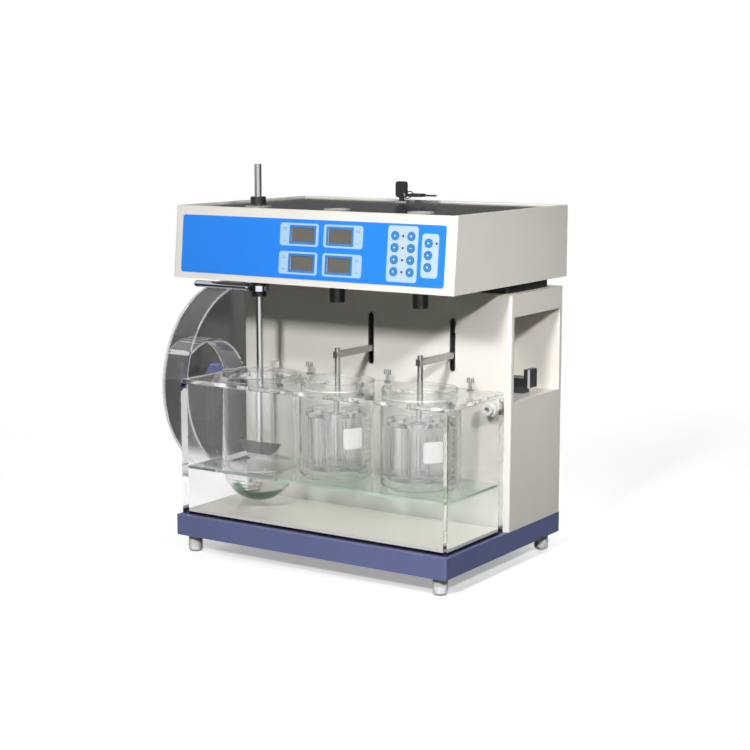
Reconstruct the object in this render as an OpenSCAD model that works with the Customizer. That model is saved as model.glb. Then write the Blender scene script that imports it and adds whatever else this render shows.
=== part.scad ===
// Bench tester for tablets with four stations: a friability drum, a hardness bay,
// a pair of disintegration baskets and a dissolution stirrer over one water bath.
// X runs along the front, Y runs from front to back, Z is up. Millimetres.

/* [Base] */
// Step from the column's sides in to the base tray
base_step = 0.5; // [-10:0.5:3.5]
// Depth of the base tray
base_d = 326; // [322:1:338]
// Height of the base tray
base_h = 29.5; // [20:0.5:45]
// Sheet thickness of the base tray
base_t = 2; // [1:0.1:3]
// Corner radius of the base tray
base_r = 4; // [3:0.5:8]
// Width of the folded flange under the base tray
base_flange = 36; // [32:1:50]
// Height of the rubber feet
foot_h = 26; // [14:1:40]
// Diameter of the rubber feet
foot_d = 20; // [14:1:26]
// Distance of a foot's centre from the two nearest edges
foot_inset = 20; // [15:1:22]
// Radius of the rounding under a foot
foot_r = 5; // [2:0.5:6]

/* [Column] */
// Width of the column
column_w = 459; // [452:1:463]
// Distance of the column's front wall from the base's front edge
column_y = 169; // [166:1:174]
// Depth of the column
column_d = 152; // [148:1:156]
// Height of the column
column_h = 332.5; // [328:0.5:350]
// Wall thickness of the column
column_t = 2.5; // [1.5:0.1:3.5]
// Radius of the column's front edges
column_r = 4; // [3.6:0.1:8]
// Width of the slots that the basket arms pass through
slot_w = 10; // [9:0.5:12]
// Room under the lowest arm position in a slot
slot_room_low = 12.5; // [2:0.5:16]
// Room over the highest arm position in a slot
slot_room_high = 1.6; // [1:0.1:6]
// Thickness of the rear cover
cover_plate_t = 2; // [1:0.1:3]
// Height of the flanges that the rear cover is screwed to
flange_h = 14; // [12:1:20]
// Number of vents in the rear cover
vent_n = 12; // [4:1:16]
// Pitch of the vents
vent_pitch = 12; // [8:0.5:14]
// Height of a vent
vent_h = 60; // [30:1:90]
// Distance from the column's top down to the vents
vent_drop = 110; // [40:1:120]
// Width of a vent
vent_w = 5; // [3:0.5:6]
// Shank diameter of the case screws
screw_d = 3.8; // [3:0.1:4.5]
// Head diameter of the case screws
screw_head_d = 7.5; // [6:0.1:9]

/* [Neck] */
// Height of the black spacer between column and head
neck_h = 13.5; // [8:0.5:20]
// Step from the column's front and sides in to the spacer
neck_inset = 12; // [6:1:20]
// Step from the column's back in to the spacer
neck_back = 22; // [10:1:30]
// Wall of the spacer
neck_t = 8; // [4:1:12]

/* [Head] */
// Width of the head
head_w = 465; // [458:1:472]
// Distance of the head's lower front edge from the base's front edge
head_y = 8; // [4:1:12]
// Depth of the head along its underside
head_d = 322; // [318:1:328]
// Height of the head
head_h = 102; // [98:1:112]
// How far the head's front leans back
head_lean = 10; // [6:0.5:14]
// Wall thickness of the head
head_t = 2.5; // [2:0.1:3]
// Radius of the head's upright edges
head_r = 4; // [3.6:0.1:7]
// Width of the rim round the lid
rim_w = 9; // [8:0.5:12]
// Step from the rim down to the lid
rim_drop = 2; // [1:0.1:3]
// Thickness of the lid
lid_t = 4; // [4:0.1:6]
// Gap between the lid and the rim
lid_gap = 1.2; // [1:0.1:1.6]
// Width of the ledge under the lid
ledge_w = 6; // [4:0.5:9]
// Thickness of the ledge under the lid
ledge_t = 2.5; // [1.5:0.1:3.5]
// Diameter of the lid's pivot pins
pivot_d = 3.2; // [2:0.1:3.6]
// Length of a pivot pin beyond the lid
pivot_l = 6; // [4:0.5:7]
// Distance of the pivot behind the lid's front edge
pivot_in = 3; // [2.4:0.1:4]
// Outer diameter of the rings in the lid
ring_od = 37; // [36:0.5:44]
// Inner diameter of the rings in the lid
ring_id = 31; // [31:0.5:32]
// Thickness of a ring's flange over the lid
ring_t = 1; // [0.6:0.1:3]

/* [Lock] */
// Sideways place of the lock, left of the middle
lock_left = 30; // [10:1:60]
// Distance of the lock from the lid's rear edge
lock_back = 22; // [18:1:28]
// Diameter of the lock barrel
barrel_d = 18; // [14:0.5:22]
// Length of the barrel below the lid
barrel_l = 12; // [8:0.5:16]
// Diameter of the turning plug
plug_d = 10; // [9.5:0.1:11]
// Length of the cam from the lock's axis
cam_l = 27; // [24:0.5:29]
// Width of a key's head
key_head_w = 19; // [16:0.5:20]
// Height of a key's head
key_head_h = 24; // [22:0.5:28]
// Thickness of a key's head
key_head_t = 4.5; // [3:0.1:5]
// Bare shank between the lock and the key's head
key_shank = 5; // [3:0.5:8]

/* [Front panel] */
// Width of the membrane overlay
overlay_w = 436; // [430:1:450]
// Height of the membrane overlay
overlay_h = 81; // [78:1:84]
// Distance of the overlay above the head's lower edge
overlay_z = 9; // [6:0.5:12]
// Thickness of the overlay
overlay_t = 0.8; // [0.4:0.1:1.2]
// Width of a display window
display_w = 38; // [34:0.5:42]
// Height of a display window
display_h = 19.5; // [16:0.5:22]
// Middle of the left displays
display_x = -8.2; // [-14:0.2:-4]
// Pitch from the left displays to the right ones
display_pitch_x = 61; // [54:0.5:70]
// Height of the lower displays over the head's lower edge
display_z = 30.5; // [28:0.5:34]
// Pitch from the lower displays to the upper ones
display_pitch_z = 38.6; // [36:0.2:41]
// Diameter of the panel keys
key_d = 12; // [10:0.5:12.5]
// How far a key stands over the overlay
key_proud = 0.9; // [0.8:0.1:1.6]
// Travel of a key
key_travel = 0.6; // [0.3:0.1:0.7]
// First column of the block of eight keys
key_x = 140.4; // [136:0.2:146]
// Pitch between the two columns of keys
key_pitch_x = 25.2; // [22:0.2:27]
// Lowest row of the block of eight keys
key_z = 26.9; // [24:0.1:30]
// Pitch between rows of keys
key_pitch_z = 15.7; // [15.5:0.1:16.5]
// Column of the block of three keys
side_key_x = 192.3; // [188:0.1:196]
// Lowest row of the block of three keys
side_key_z = 34.8; // [32:0.1:37]
// Diameter of an indicator light
led_d = 3; // [2:0.1:4]

/* [Spindles] */
// Pitch between the three stations
station_pitch = 136.5; // [134:0.5:139]
// Distance of the stations behind the base's front edge
station_y = 84; // [82:0.5:87]
// Diameter of the stirrer shaft
shaft_d = 10; // [9:0.1:10.4]
// Running clearance round the shaft, on the diameter
shaft_clear = 0.1; // [0.04:0.02:0.16]
// Diameter of the hollow spindles
spindle_d = 16; // [15:0.5:18]
// Diameter of the chucks under the head
chuck_d = 21.5; // [21:0.5:24]
// Height of the turning chuck nut
chuck_h = 7; // [4:0.5:9]
// Distance of the chucks' lower end below the head
chuck_drop = 28.5; // [26:0.5:34]
// Height of the spindles' upper end over the head's underside
spindle_rise = 62.5; // [58:0.5:70]
// Diameter of the belt pulleys
pulley_d = 36; // [30:1:40]
// Height of the belt pulleys
pulley_h = 12; // [8:0.5:14]
// Thickness of the belt
belt_t = 1.6; // [1:0.1:2.5]
// Height of the belt
belt_h = 9; // [6:0.5:9]
// Diameter of the gear motors
motor_d = 36; // [30:1:38]
// Length of the gear motors
motor_l = 36; // [30:1:38]
// Diameter of the motor shafts
motor_shaft_d = 6; // [4:0.5:8]

/* [Stirrer] */
// Upper end of the stirrer shaft over the head
shaft_rise = 58; // [48:1:80]
// How far the stirrer can drop until its collar lands
stirrer_down = 40; // [30:1:40]
// How far the stirrer can be drawn up
stirrer_up = 130; // [100:1:150]
// Gap between the lowered paddle and the vessel's inside
paddle_gap = 25; // [20:1:27]
// Height of the paddle blade
blade_h = 18; // [16:0.5:20]
// Radius of the blade's edge
blade_r = 41.5; // [38:0.5:44]
// Half width of the blade's upper edge
blade_half = 37.2; // [34:0.2:37.6]
// Thickness of the blade
blade_t = 4; // [3:0.5:5]
// Outer diameter of the stop collar
collar_d = 22; // [16:0.5:22]
// Height of the stop collar
collar_h = 11; // [8:0.5:14]
// Diameter of the chrome lever
lever_d = 9.7; // [7:0.1:10]
// Length of the lever
lever_l = 104; // [80:1:110]
// Outer diameter of the lever's collar
lever_ring_d = 30; // [27:0.5:34]
// Height of the lever's collar
lever_ring_h = 8; // [6:0.5:9]

/* [Water bath] */
// Step from the base tray's sides in to the tank
tank_step = 5; // [3:0.5:9]
// Distance of the tank from the base's front edge
tank_y = 10; // [4:1:14]
// Gap between the tank and the column
tank_gap = 7; // [3:0.5:10]
// Height of the tank walls
tank_h = 192.5; // [188:0.5:198]
// Thickness of the tank walls
tank_t = 8; // [5:0.5:10]
// Thickness of the tank floor
tank_floor_t = 8; // [5:0.5:10]
// Thickness of the cover plate
cover_t = 6; // [4:0.5:8]
// Gap between a vessel and its hole in the cover
cover_hole_gap = 0.8; // [0.5:0.1:1.5]
// Height of the shelf's upper face over the base
shelf_rise = 71.5; // [66:0.5:74]
// Thickness of the shelf
shelf_t = 4; // [3:0.5:6]
// Height of the hold-down posts
post_h = 15; // [10:0.5:20]
// Diameter of the hold-down posts
post_d = 5; // [4:0.5:7]

/* [Vessels] */
// Outer diameter of the round-bottom vessel
vessel_od = 108; // [104:0.5:110]
// Glass thickness of the vessel
vessel_t = 3; // [2:0.1:3.5]
// Depth of the vessel below the cover
vessel_depth = 180; // [174:0.5:185]
// Width of the vessel's flange
vessel_flange = 6; // [4:0.5:8]
// Thickness of the vessel's flange
vessel_flange_t = 6; // [4:0.5:9]
// Outer diameter of the beakers
beaker_od = 105; // [102:0.5:108]
// Glass thickness of the beakers
beaker_t = 2.5; // [2:0.1:3]
// Height of the beakers
beaker_h = 136; // [134:0.5:140]
// Radius of the beakers' lower edge
beaker_r = 9; // [5:0.5:14]
// Height of a beaker's spout
spout_h = 7; // [5:0.5:8]
// How far a spout reaches out
spout_out = 6; // [4:0.5:7]

/* [Baskets] */
// Height of the arms over the base, at rest
arm_rise = 243; // [241:0.5:245]
// Height of a flat arm
arm_h = 8.7; // [6:0.1:10]
// Width of a flat arm
arm_w = 7; // [5:0.5:8]
// How far the baskets go down from rest
lift_down = 7; // [4:0.5:7]
// How far the baskets go up from rest
lift_up = 46; // [40:0.5:48]
// Diameter of the hanger rods
rod_d = 8; // [6:0.5:9]
// Length of a rod over its arm
rod_over = 5; // [3:0.5:8]
// Distance from the arms down to the racks
rack_drop = 77.4; // [75:0.2:79]
// Overall height of a basket rack
rack_h = 81; // [78:0.5:82.5]
// Diameter of the rack plates
rack_d = 88; // [86:0.5:94]
// Thickness of the rack plates
rack_t = 6; // [5:0.5:8]
// Bore of the glass tubes
tube_id = 21.5; // [20.5:0.1:23]
// Wall of the glass tubes
tube_t = 1.7; // [1:0.1:1.9]
// Radius of the circle that the tubes stand on
tube_ring = 29.5; // [28:0.1:30]
// Depth of the seat under each tube
tube_seat = 3; // [2:0.5:4]
// Diameter of the rack's pillars
pillar_d = 4; // [3:0.1:5]
// Thickness of the wire screen
screen_t = 0.6; // [0.4:0.1:1]

/* [Lift drive] */
// Distance of the carriage behind the column's front wall
carriage_back = 81; // [76:1:90]
// Thickness of the carriage
carriage_d = 24; // [20:1:28]
// Height of the carriage
carriage_h = 30; // [24:1:34]
// Overhang of the carriage past the arms
carriage_over = 8; // [6:1:12]
// Diameter of the guide rods
guide_d = 12; // [8:0.5:14]
// Distance of the guide rods from the arms
guide_in = 20; // [16:0.5:24]
// Running clearance on the guide rods, on the diameter
guide_clear = 0.16; // [0.06:0.02:0.2]
// Module of the lift gear
gear_m = 1.5; // [1.2:0.1:1.8]
// Teeth of the lift pinion
gear_teeth = 20; // [18:1:22]
// Backlash of the lift gear
gear_backlash = 0.36; // [0.3:0.02:0.6]
// Face width of the lift gear
gear_w = 12; // [8:0.5:14]

/* [Friability drum] */
// Outer diameter of the drum
drum_od = 295; // [285:1:299]
// Wall of the drum
drum_t = 4; // [3:0.5:6]
// Width of the drum over both faces
drum_w = 47; // [44:0.5:54]
// Gap between the column and the drum
drum_gap = 12; // [10:0.5:20]
// Distance of the drum's axis behind the base's front edge
drum_y = 192; // [191:0.5:198]
// Height of the drum's axis over the base
drum_rise = 175.5; // [165:0.5:178]
// Diameter of the drum shaft
drum_shaft_d = 12; // [10:0.5:14]
// Diameter of the shoulder that carries the drum
shoulder_d = 30; // [24:1:40]
// Diameter of the drum's hub
hub_d = 25; // [22:0.5:30]
// Radius of the scoop's inner face
scoop_r = 80.5; // [78:0.5:85]
// Thickness of the scoop
scoop_t = 4; // [3:0.5:5]
// Angle at which the scoop meets the drum's rim, from the rear
scoop_angle = 160; // [150:1:170]
// Diameter of the hand nut
nut_d = 35; // [28:0.5:40]
// Length of the hand nut's grip
nut_l = 20; // [14:0.5:24]
// Length of the hand nut's neck
nut_neck = 6; // [4:0.5:8]
// Number of flutes on the hand nut
nut_flutes = 8; // [6:1:12]

/* [Hardness bay] */
// Distance from the column's front to the bay
bay_front = 7; // [5:0.5:10]
// Distance from the bay to the column's back
bay_back = 4; // [4:0.5:8]
// Distance from the column's top down to the bay
bay_drop = 29; // [23.5:0.5:33.5]
// Height of the bay
bay_h = 123; // [116:0.5:128]
// Distance from the lift carriage to the bay
bay_clear = 1.5; // [1:0.1:6]
// Wall of the bay
bay_t = 2.5; // [1.5:0.1:3.5]
// Radius of the bay's rear corner
bay_r = 6; // [3:0.5:12]
// Place of the rail behind the bay's front edge
rail_back = 74; // [60:0.5:80]
// Height of the rail
rail_h = 8.2; // [6:0.1:10]
// Width of the rail
rail_w = 18; // [14:0.5:22]
// Step from the column's side in to the rail
rail_in = 23.5; // [20:0.5:26]
// Width of the tongue on the rail
tongue_w = 7; // [5:0.1:9]
// Height of the tongue on the rail
tongue_h = 5; // [3:0.1:7]
// Step from the column's side in to the jaw
jaw_in = 14.2; // [10:0.1:17]
// Depth of the jaw from front to rear
jaw_d = 23.5; // [20:0.5:26]
// Height of the jaw
jaw_h = 26.3; // [23:0.1:32]
// Height of the jaw's bar
bar_h = 13; // [10:0.5:16]
// Thickness of the jaw's upright
jaw_t = 8.7; // [6:0.1:12]
// Bevel on the jaw's outer front edge
jaw_bevel = 2.5; // [0.5:0.1:3]
// Travel of the jaw into the bay
jaw_travel = 20; // [10:1:22]
// Room for a tablet between the open jaw and the anvil
tablet_room = 26; // [24:0.5:30]
// Thickness of the anvil's post
post_t = 6; // [4:0.5:8]

/* [Power] */
// Sideways place of the power inlet
inlet_x = -150; // [-170:1:-120]
// Height of the power inlet over the base
inlet_rise = 40; // [32:1:60]
// Width of the inlet's flange
inlet_w = 50; // [46:1:60]
// Height of the inlet's flange
inlet_h = 32; // [30:1:36]
// Distance from the inlet to the rocker switch
rocker_off = 45; // [43:1:60]
// Length of the rocker
rocker_l = 18; // [12:0.5:18]
// Diameter that the rocker turns in
rocker_d = 16; // [12:0.5:18]

/* [Hidden] */
$fn = 48;

// Clearances
run_gap = 0.3;
fit_gap = 0.08;
seat_gap = 0.05;
cut = 1;

// Colours
cream = "#efebe4";
slate = "#5a628a";
blue = "#1e90ff";
clear = "#dcebf0";
black = "#202022";
steel = "#c4c8cc";

// Heights
base_top = foot_h + base_h;
column_top = base_top + column_h;
head_z = column_top + neck_h;
head_top = head_z + head_h;
lid_top = head_top - rim_drop;
lid_z = lid_top - lid_t;
ledge_z = lid_z - ledge_t;
tank_top = base_top + tank_h;
cover_top = tank_top + cover_t;
shelf_top = base_top + shelf_rise;
arm_z = base_top + arm_rise;
rack_top = arm_z - rack_drop;
rack_z = rack_top - rack_h;
drum_z = base_top + drum_rise;
bay_z = column_top - bay_drop - bay_h;

// Plan positions
base_w = column_w - 2 * base_step;
tank_w = base_w - 2 * tank_step;
column_back = column_y + column_d;
column_in = column_w / 2 - column_t;
rear_face = column_back - cover_plate_t;
head_back = head_y + head_d;
head_front = head_y + head_lean;
lean = atan(head_lean / head_h);
lid_x = head_w / 2 - rim_w - lid_gap;
lid_y0 = head_front + rim_w + lid_gap;
lid_y1 = head_back - rim_w - lid_gap;
pivot_y = lid_y0 + pivot_in;
pivot_z = lid_z + lid_t / 2;
lock_x = -lock_left;
lock_y = lid_y1 - lock_back;
tank_y1 = column_y - tank_gap;
drum_x = -column_w / 2 - drum_gap;
drum_end = drum_x - drum_w;
nut_end = drum_end - nut_neck - nut_l;
bay_y0 = column_y + bay_front;
bay_y1 = column_back - bay_back;
bay_x = station_pitch + carriage_over + bay_clear + bay_t;
carriage_y = column_y + carriage_back;
drive_x = station_pitch / 2;
guide_y = carriage_y + carriage_d / 2;
basket_stations = [1, 2];

// The origin lies on the floor under the middle of the whole tester
part_cx = (nut_end + head_w / 2) / 2;
part_cy = max(drum_y + drum_od / 2, head_back, base_d) / 2;

// Spindle levels
chuck_z = head_z - chuck_drop;
nose_z = chuck_z + chuck_h + run_gap;
spindle_top = head_z + spindle_rise;
pulley_z = spindle_top - 2 - pulley_h;
housing_top = pulley_z - run_gap * 2;
lever_z = nose_z + 0.5;
bore_r = (shaft_d + shaft_clear) / 2;

// Stirrer levels
vessel_low = cover_top - vessel_depth;
blade_z = vessel_low + vessel_t + paddle_gap + stirrer_down;
shaft_top = head_top + shaft_rise;
collar_z = spindle_top + run_gap + stirrer_down;

// Gear
gear_rp = gear_m * gear_teeth / 2;
gear_rb = gear_rp * cos(20);
gear_ra = gear_rp + gear_m;
gear_rf = gear_rp - 1.25 * gear_m;
gear_p = PI * gear_m;
gear_y0 = carriage_y - gear_w - 4;
rack_line = gear_rp + 0.12;
rack_back = rack_line + 1.25 * gear_m + 6;
rack_room = 16;

// Rows of keys, top row first
key_rows = 4;
side_rows = 3;
key_places = concat(
    [for (r = [key_rows - 1:-1:0], c = [0, 1]) [key_x + c * key_pitch_x, key_z + r * key_pitch_z]],
    [for (r = [side_rows - 1:-1:0]) [side_key_x, side_key_z + r * key_pitch_z]]);
led_places = concat(
    [for (r = [key_rows - 1:-1:0]) [key_x + key_pitch_x / 2, key_z + r * key_pitch_z]],
    [[side_key_x + key_d, side_key_z + (side_rows - 1) * key_pitch_z]]);
display_places = [for (r = [1, 0], c = [0, 1])
    [display_x + c * display_pitch_x, display_z + r * display_pitch_z]];
key_hole_d = key_d + 2 * run_gap;

// Points of an arc
function arc(cx, cy, r, a0, a1, n) =
    [for (i = [0:n]) [cx + r * cos(a0 + (a1 - a0) * i / n), cy + r * sin(a0 + (a1 - a0) * i / n)]];

// Outline of a rectangle with rounded corners
function rounded(x0, y0, x1, y1, r, n = 6) = concat(
    arc(x1 - r, y1 - r, r, 0, 90, n),
    arc(x0 + r, y1 - r, r, 90, 180, n),
    arc(x0 + r, y0 + r, r, 180, 270, n),
    arc(x1 - r, y0 + r, r, 270, 360, n));

// Upright plate with rounded corners
module plate(x0, y0, x1, y1, r, z0, z1) {
    translate([0, 0, z0]) linear_extrude(z1 - z0) polygon(rounded(x0, y0, x1, y1, r));
}

// Plate that faces the front, with rounded corners
module face_plate(x0, z0, x1, z1, r, y0, y1) {
    translate([0, y1, 0]) rotate([90, 0, 0]) linear_extrude(y1 - y0) polygon(rounded(x0, z0, x1, z1, r));
}

// Box between two corners
module box(a, b) {
    translate(a) cube(b - a);
}

// Cylinders along X and along Y
module rod_x(r, x0, x1) {
    translate([x0, 0, 0]) rotate([0, 90, 0]) cylinder(h = x1 - x0, r = r);
}
module rod_y(r, y0, y1) {
    translate([0, y0, 0]) rotate([-90, 0, 0]) cylinder(h = y1 - y0, r = r);
}
module rod_z(r, z0, z1) {
    translate([0, 0, z0]) cylinder(h = z1 - z0, r = r);
}

// Solid between two outlines with the same number of points
module loft(p0, z0, p1, z1) {
    n = len(p0);
    polyhedron(
        points = concat([for (p = p0) [p[0], p[1], z0]], [for (p = p1) [p[0], p[1], z1]]),
        faces = concat(
            [[for (i = [0:n - 1]) i]],
            [[for (i = [n - 1:-1:0]) n + i]],
            [for (i = [0:n - 1]) [i, n + i, n + (i + 1) % n, (i + 1) % n]]));
}

// Outline of the head at a height, drawn in by a wall
function head_line(z, in, r) = rounded(
    -head_w / 2 + in, head_y + head_lean * (z - head_z) / head_h + in,
    head_w / 2 - in, head_back - in, r);

// Places
module placed() {
    translate([-part_cx, -part_cy, 0]) children();
}
module at_station(i) {
    translate([(i - 1) * station_pitch, station_y, 0]) children();
}
module on_panel() {
    translate([0, head_y, head_z]) rotate([-lean, 0, 0]) children();
}
module at_drum() {
    translate([0, drum_y, drum_z]) children();
}
module at_lift_drive() {
    translate([drive_x, 0, arm_z]) children();
}
module at_lock() {
    translate([lock_x, lock_y, 0]) children();
}

// Base

module base_tray() {
    x = base_w / 2;
    color(slate) placed() difference() {
        plate(-x, 0, x, base_d, base_r, foot_h, base_top);
        plate(-x + base_t, base_t, x - base_t, base_d - base_t, base_r - base_t / 2,
            foot_h + base_t, base_top - base_t);
        plate(-x + base_flange, base_flange, x - base_flange, base_d - base_flange, base_r,
            foot_h - cut, foot_h + base_t + cut);
    }
}

module rubber_feet() {
    x = base_w / 2 - foot_inset;
    r = foot_d / 2;
    color("#f2f2ee") placed()
        for (sx = [-x, x], sy = [foot_inset, base_d - foot_inset])
            translate([sx, sy, 0]) rotate_extrude()
                polygon(concat([[0, 0]], arc(r - foot_r, foot_r, foot_r, -90, 0, 5),
                    [[r, foot_h], [0, foot_h]]));
}

// Column

slot_z0 = arm_z - arm_h / 2 - lift_down - slot_room_low;
slot_z1 = arm_z + arm_h / 2 + lift_up + slot_room_high;

module column_outline() {
    x = column_w / 2;
    polygon(concat(
        arc(-x + column_r, column_y + column_r, column_r, 180, 270, 6),
        arc(x - column_r, column_y + column_r, column_r, 270, 360, 6),
        [[x, column_back], [-x, column_back]]));
}

screw_x = [for (i = [-2:2]) i * (column_in - 20) / 2];
screw_z = [base_top + flange_h / 2, column_top - column_t - flange_h / 2];

module column_shell() {
    color(cream) placed() difference() {
        translate([0, 0, base_top]) linear_extrude(column_h) column_outline();
        difference() {
            box([-column_in, column_y + column_t, base_top - cut],
                [column_in, column_back + cut, column_top - column_t]);
            box([-column_in - cut, rear_face - 2, base_top - cut - cut],
                [column_in + cut, rear_face, base_top + flange_h]);
            box([-column_in - cut, rear_face - 2, column_top - column_t - flange_h],
                [column_in + cut, rear_face, column_top]);
        }
        for (i = basket_stations) {
            translate([(i - 1) * station_pitch, 0, 0])
                face_plate(-slot_w / 2, slot_z0, slot_w / 2, slot_z1, slot_w / 2 - 0.01,
                    column_y - cut, column_y + column_t + cut);
        }
        at_drum() rod_x(nose_r + run_gap, -column_w / 2 - cut, -column_in + cut);
        box([column_in - cut, bay_y0 - seat_gap, bay_z - seat_gap],
            [column_w / 2 + cut, bay_y1 + seat_gap, bay_z + bay_h + seat_gap]);
        box([-60, column_y + neck_inset + neck_t + 4, column_top - column_t - cut],
            [60, column_back - neck_back - neck_t - 4, column_top + cut]);
        for (x = screw_x, z = screw_z) {
            translate([x, 0, z]) rod_y(screw_d / 2 + seat_gap, rear_face - 2 - cut, rear_face + cut);
        }
        for (f = fittings) {
            translate([f[0], 0, f[1]])
                rod_y(fitting_tail / 2 + run_gap, column_y - cut, column_y + column_t + cut);
        }
    }
}

module rear_cover() {
    x = column_in - run_gap;
    color(cream) placed() difference() {
        box([-x, rear_face, base_top + run_gap], [x, column_back, column_top - column_t - run_gap]);
        for (i = [0:vent_n - 1]) {
            translate([(i - (vent_n - 1) / 2) * vent_pitch, 0, 0])
                face_plate(-vent_w / 2, column_top - vent_drop - vent_h, vent_w / 2, column_top - vent_drop,
                    vent_w / 2 - 0.01, rear_face - cut, column_back + cut);
        }
        for (x = screw_x, z = screw_z) {
            translate([x, 0, z]) rod_y(screw_d / 2 + seat_gap, rear_face - cut, column_back + cut);
        }
        translate([inlet_x, 0, base_top + inlet_rise])
            box([-inlet_w / 2 + inlet_lip_x - inlet_room, rear_face - cut,
                    -inlet_h / 2 + inlet_lip_z - inlet_room],
                [inlet_w / 2 - inlet_lip_x + inlet_room, column_back + cut,
                    inlet_h / 2 - inlet_lip_z + inlet_room]);
        translate([inlet_x + rocker_off, 0, base_top + inlet_rise])
            box([-rocker_l / 2 - 3, rear_face - cut, -rocker_d / 2 - 3],
                [rocker_l / 2 + 3, column_back + cut, rocker_d / 2 + 3]);
    }
}

module case_screws() {
    color(steel) placed()
        for (x = screw_x, z = screw_z) {
            translate([x, 0, z]) {
                rod_y(screw_d / 2, rear_face - 4, column_back);
                rod_y(screw_head_d / 2, column_back, column_back + 2);
            }
        }
}

module neck_spacer() {
    x = column_w / 2 - neck_inset;
    y0 = column_y + neck_inset;
    y1 = column_back - neck_back;
    color(black) placed() difference() {
        plate(-x, y0, x, y1, column_r, column_top, head_z);
        plate(-x + neck_t, y0 + neck_t, x - neck_t, y1 - neck_t, column_r, column_top - cut, head_z + cut);
    }
}

// Head

module head_case() {
    ox = head_w / 2 - rim_w;
    color(cream) placed() difference() {
        loft(head_line(head_z, 0, head_r), head_z, head_line(head_top, 0, head_r), head_top);
        loft(head_line(head_z + head_t, head_t, head_r - 1), head_z + head_t,
            head_line(ledge_z, head_t, head_r - 1), ledge_z);
        box([-ox + ledge_w, lid_y0 - lid_gap, ledge_z - cut],
            [ox - ledge_w, lid_y1 + lid_gap - ledge_w, lid_z + cut]);
        box([-ox, lid_y0 - lid_gap, ledge_z - cut], [ox, pivot_y + lid_t * 2, lid_z + cut]);
        box([-ox, lid_y0 - lid_gap, lid_z], [ox, lid_y1 + lid_gap, head_top + cut]);
        translate([0, pivot_y, pivot_z])
            rod_x(pivot_d / 2 + fit_gap, -lid_x - pivot_l - run_gap, lid_x + pivot_l + run_gap);
        for (i = [0:2]) {
            at_station(i) rod_z(chuck_d / 2 + run_gap, head_z - cut, head_z + head_t + cut);
        }
        box([-60, column_y + neck_inset + neck_t + 4, head_z - cut],
            [60, column_back - neck_back - neck_t - 4, head_z + head_t + cut]);
        on_panel() {
            for (p = display_places) {
                box([p[0] - display_w / 2, -cut, p[1] - display_h / 2],
                    [p[0] + display_w / 2, head_t + cut, p[1] + display_h / 2]);
            }
            for (p = key_places) {
                translate([p[0], 0, p[1]]) rod_y(key_hole_d / 2, -cut, head_t + cut);
            }
            for (p = led_places) {
                translate([p[0], 0, p[1]]) rod_y(led_d / 2 + seat_gap, -cut, head_t + cut);
            }
        }
    }
}

module head_lid() {
    color("#4b4949") placed() difference() {
        union() {
            box([-lid_x, lid_y0, lid_z], [lid_x, lid_y1, lid_top]);
            translate([0, pivot_y, pivot_z]) rod_x(pivot_d / 2, -lid_x - pivot_l, -lid_x + 4);
            translate([0, pivot_y, pivot_z]) rod_x(pivot_d / 2, lid_x - 4, lid_x + pivot_l);
        }
        for (i = [0:2]) {
            at_station(i) rod_z(ring_id / 2 + 1, lid_z - cut, lid_top + cut);
        }
        at_lock() rod_z(barrel_d / 2 + seat_gap, lid_z - cut, lid_top + cut);
    }
}

module lid_rings() {
    color("#e6e6e2") placed()
        for (i = [0:2]) {
            at_station(i) difference() {
                union() {
                    rod_z(ring_od / 2, lid_top, lid_top + ring_t);
                    rod_z(ring_id / 2 + 1 - seat_gap, lid_z, lid_top + ring_t);
                }
                rod_z(ring_id / 2, lid_z - cut, lid_top + ring_t + cut);
            }
        }
}

module lock_barrel() {
    color(steel) placed() at_lock() difference() {
        union() {
            rod_z(barrel_d / 2, lid_z - barrel_l, lid_top);
            rod_z(barrel_d / 2 + 2, lid_top, lid_top + 1.5);
        }
        rod_z(plug_d / 2 + fit_gap, lid_z - barrel_l - cut, lid_top + 1.5 + cut);
    }
}

key_eye = 2.8;
key_eye_z = 9;
key_ring_r = 7;

module key_head(w, h, t) {
    rotate([90, 0, 0]) translate([0, 0, -t / 2]) linear_extrude(t) difference() {
        polygon(rounded(-w / 2, 0, w / 2, h, 4));
        translate([w / 2 - 4.5, key_eye_z - key_shank]) circle(r = key_eye);
    }
}

module lock_keys() {
    plug_top = lid_top + 1.5;
    cam_z = lid_z - barrel_l - run_gap;
    head_z0 = plug_top + key_shank;
    eye_x = key_head_w / 2 - 4.5;
    eye_z = plug_top + key_eye_z;
    color("#1c1c1e") placed() at_lock() {
        rod_z(plug_d / 2, cam_z, plug_top);
        difference() {
            box([-6, -5, cam_z - 3], [cam_l, 5, cam_z]);
            translate([cam_l, 0, 0]) box([-1, -6, cam_z - 4], [1, -3, cam_z + 1]);
        }
        box([-4, -1.1, plug_top], [4, 1.1, head_z0]);
        translate([0, 0, head_z0]) key_head(key_head_w, key_head_h, key_head_t);
        translate([eye_x + key_ring_r, 0, eye_z]) rotate([45, 0, 0])
            rotate_extrude() translate([key_ring_r, 0]) circle(r = 0.8, $fn = 16);
        translate([eye_x + key_ring_r * 2, 0, eye_z]) difference() {
            union() {
                plate(-5, -key_head_w / 2, key_head_h - 5, key_head_w / 2, 4,
                    -key_head_t / 2, key_head_t / 2);
                box([key_head_h - 6, -4, -1.1], [key_head_h + 16, 4, 1.1]);
            }
            rod_z(key_eye, -key_head_t, key_head_t);
        }
    }
}

// Front panel

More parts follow.
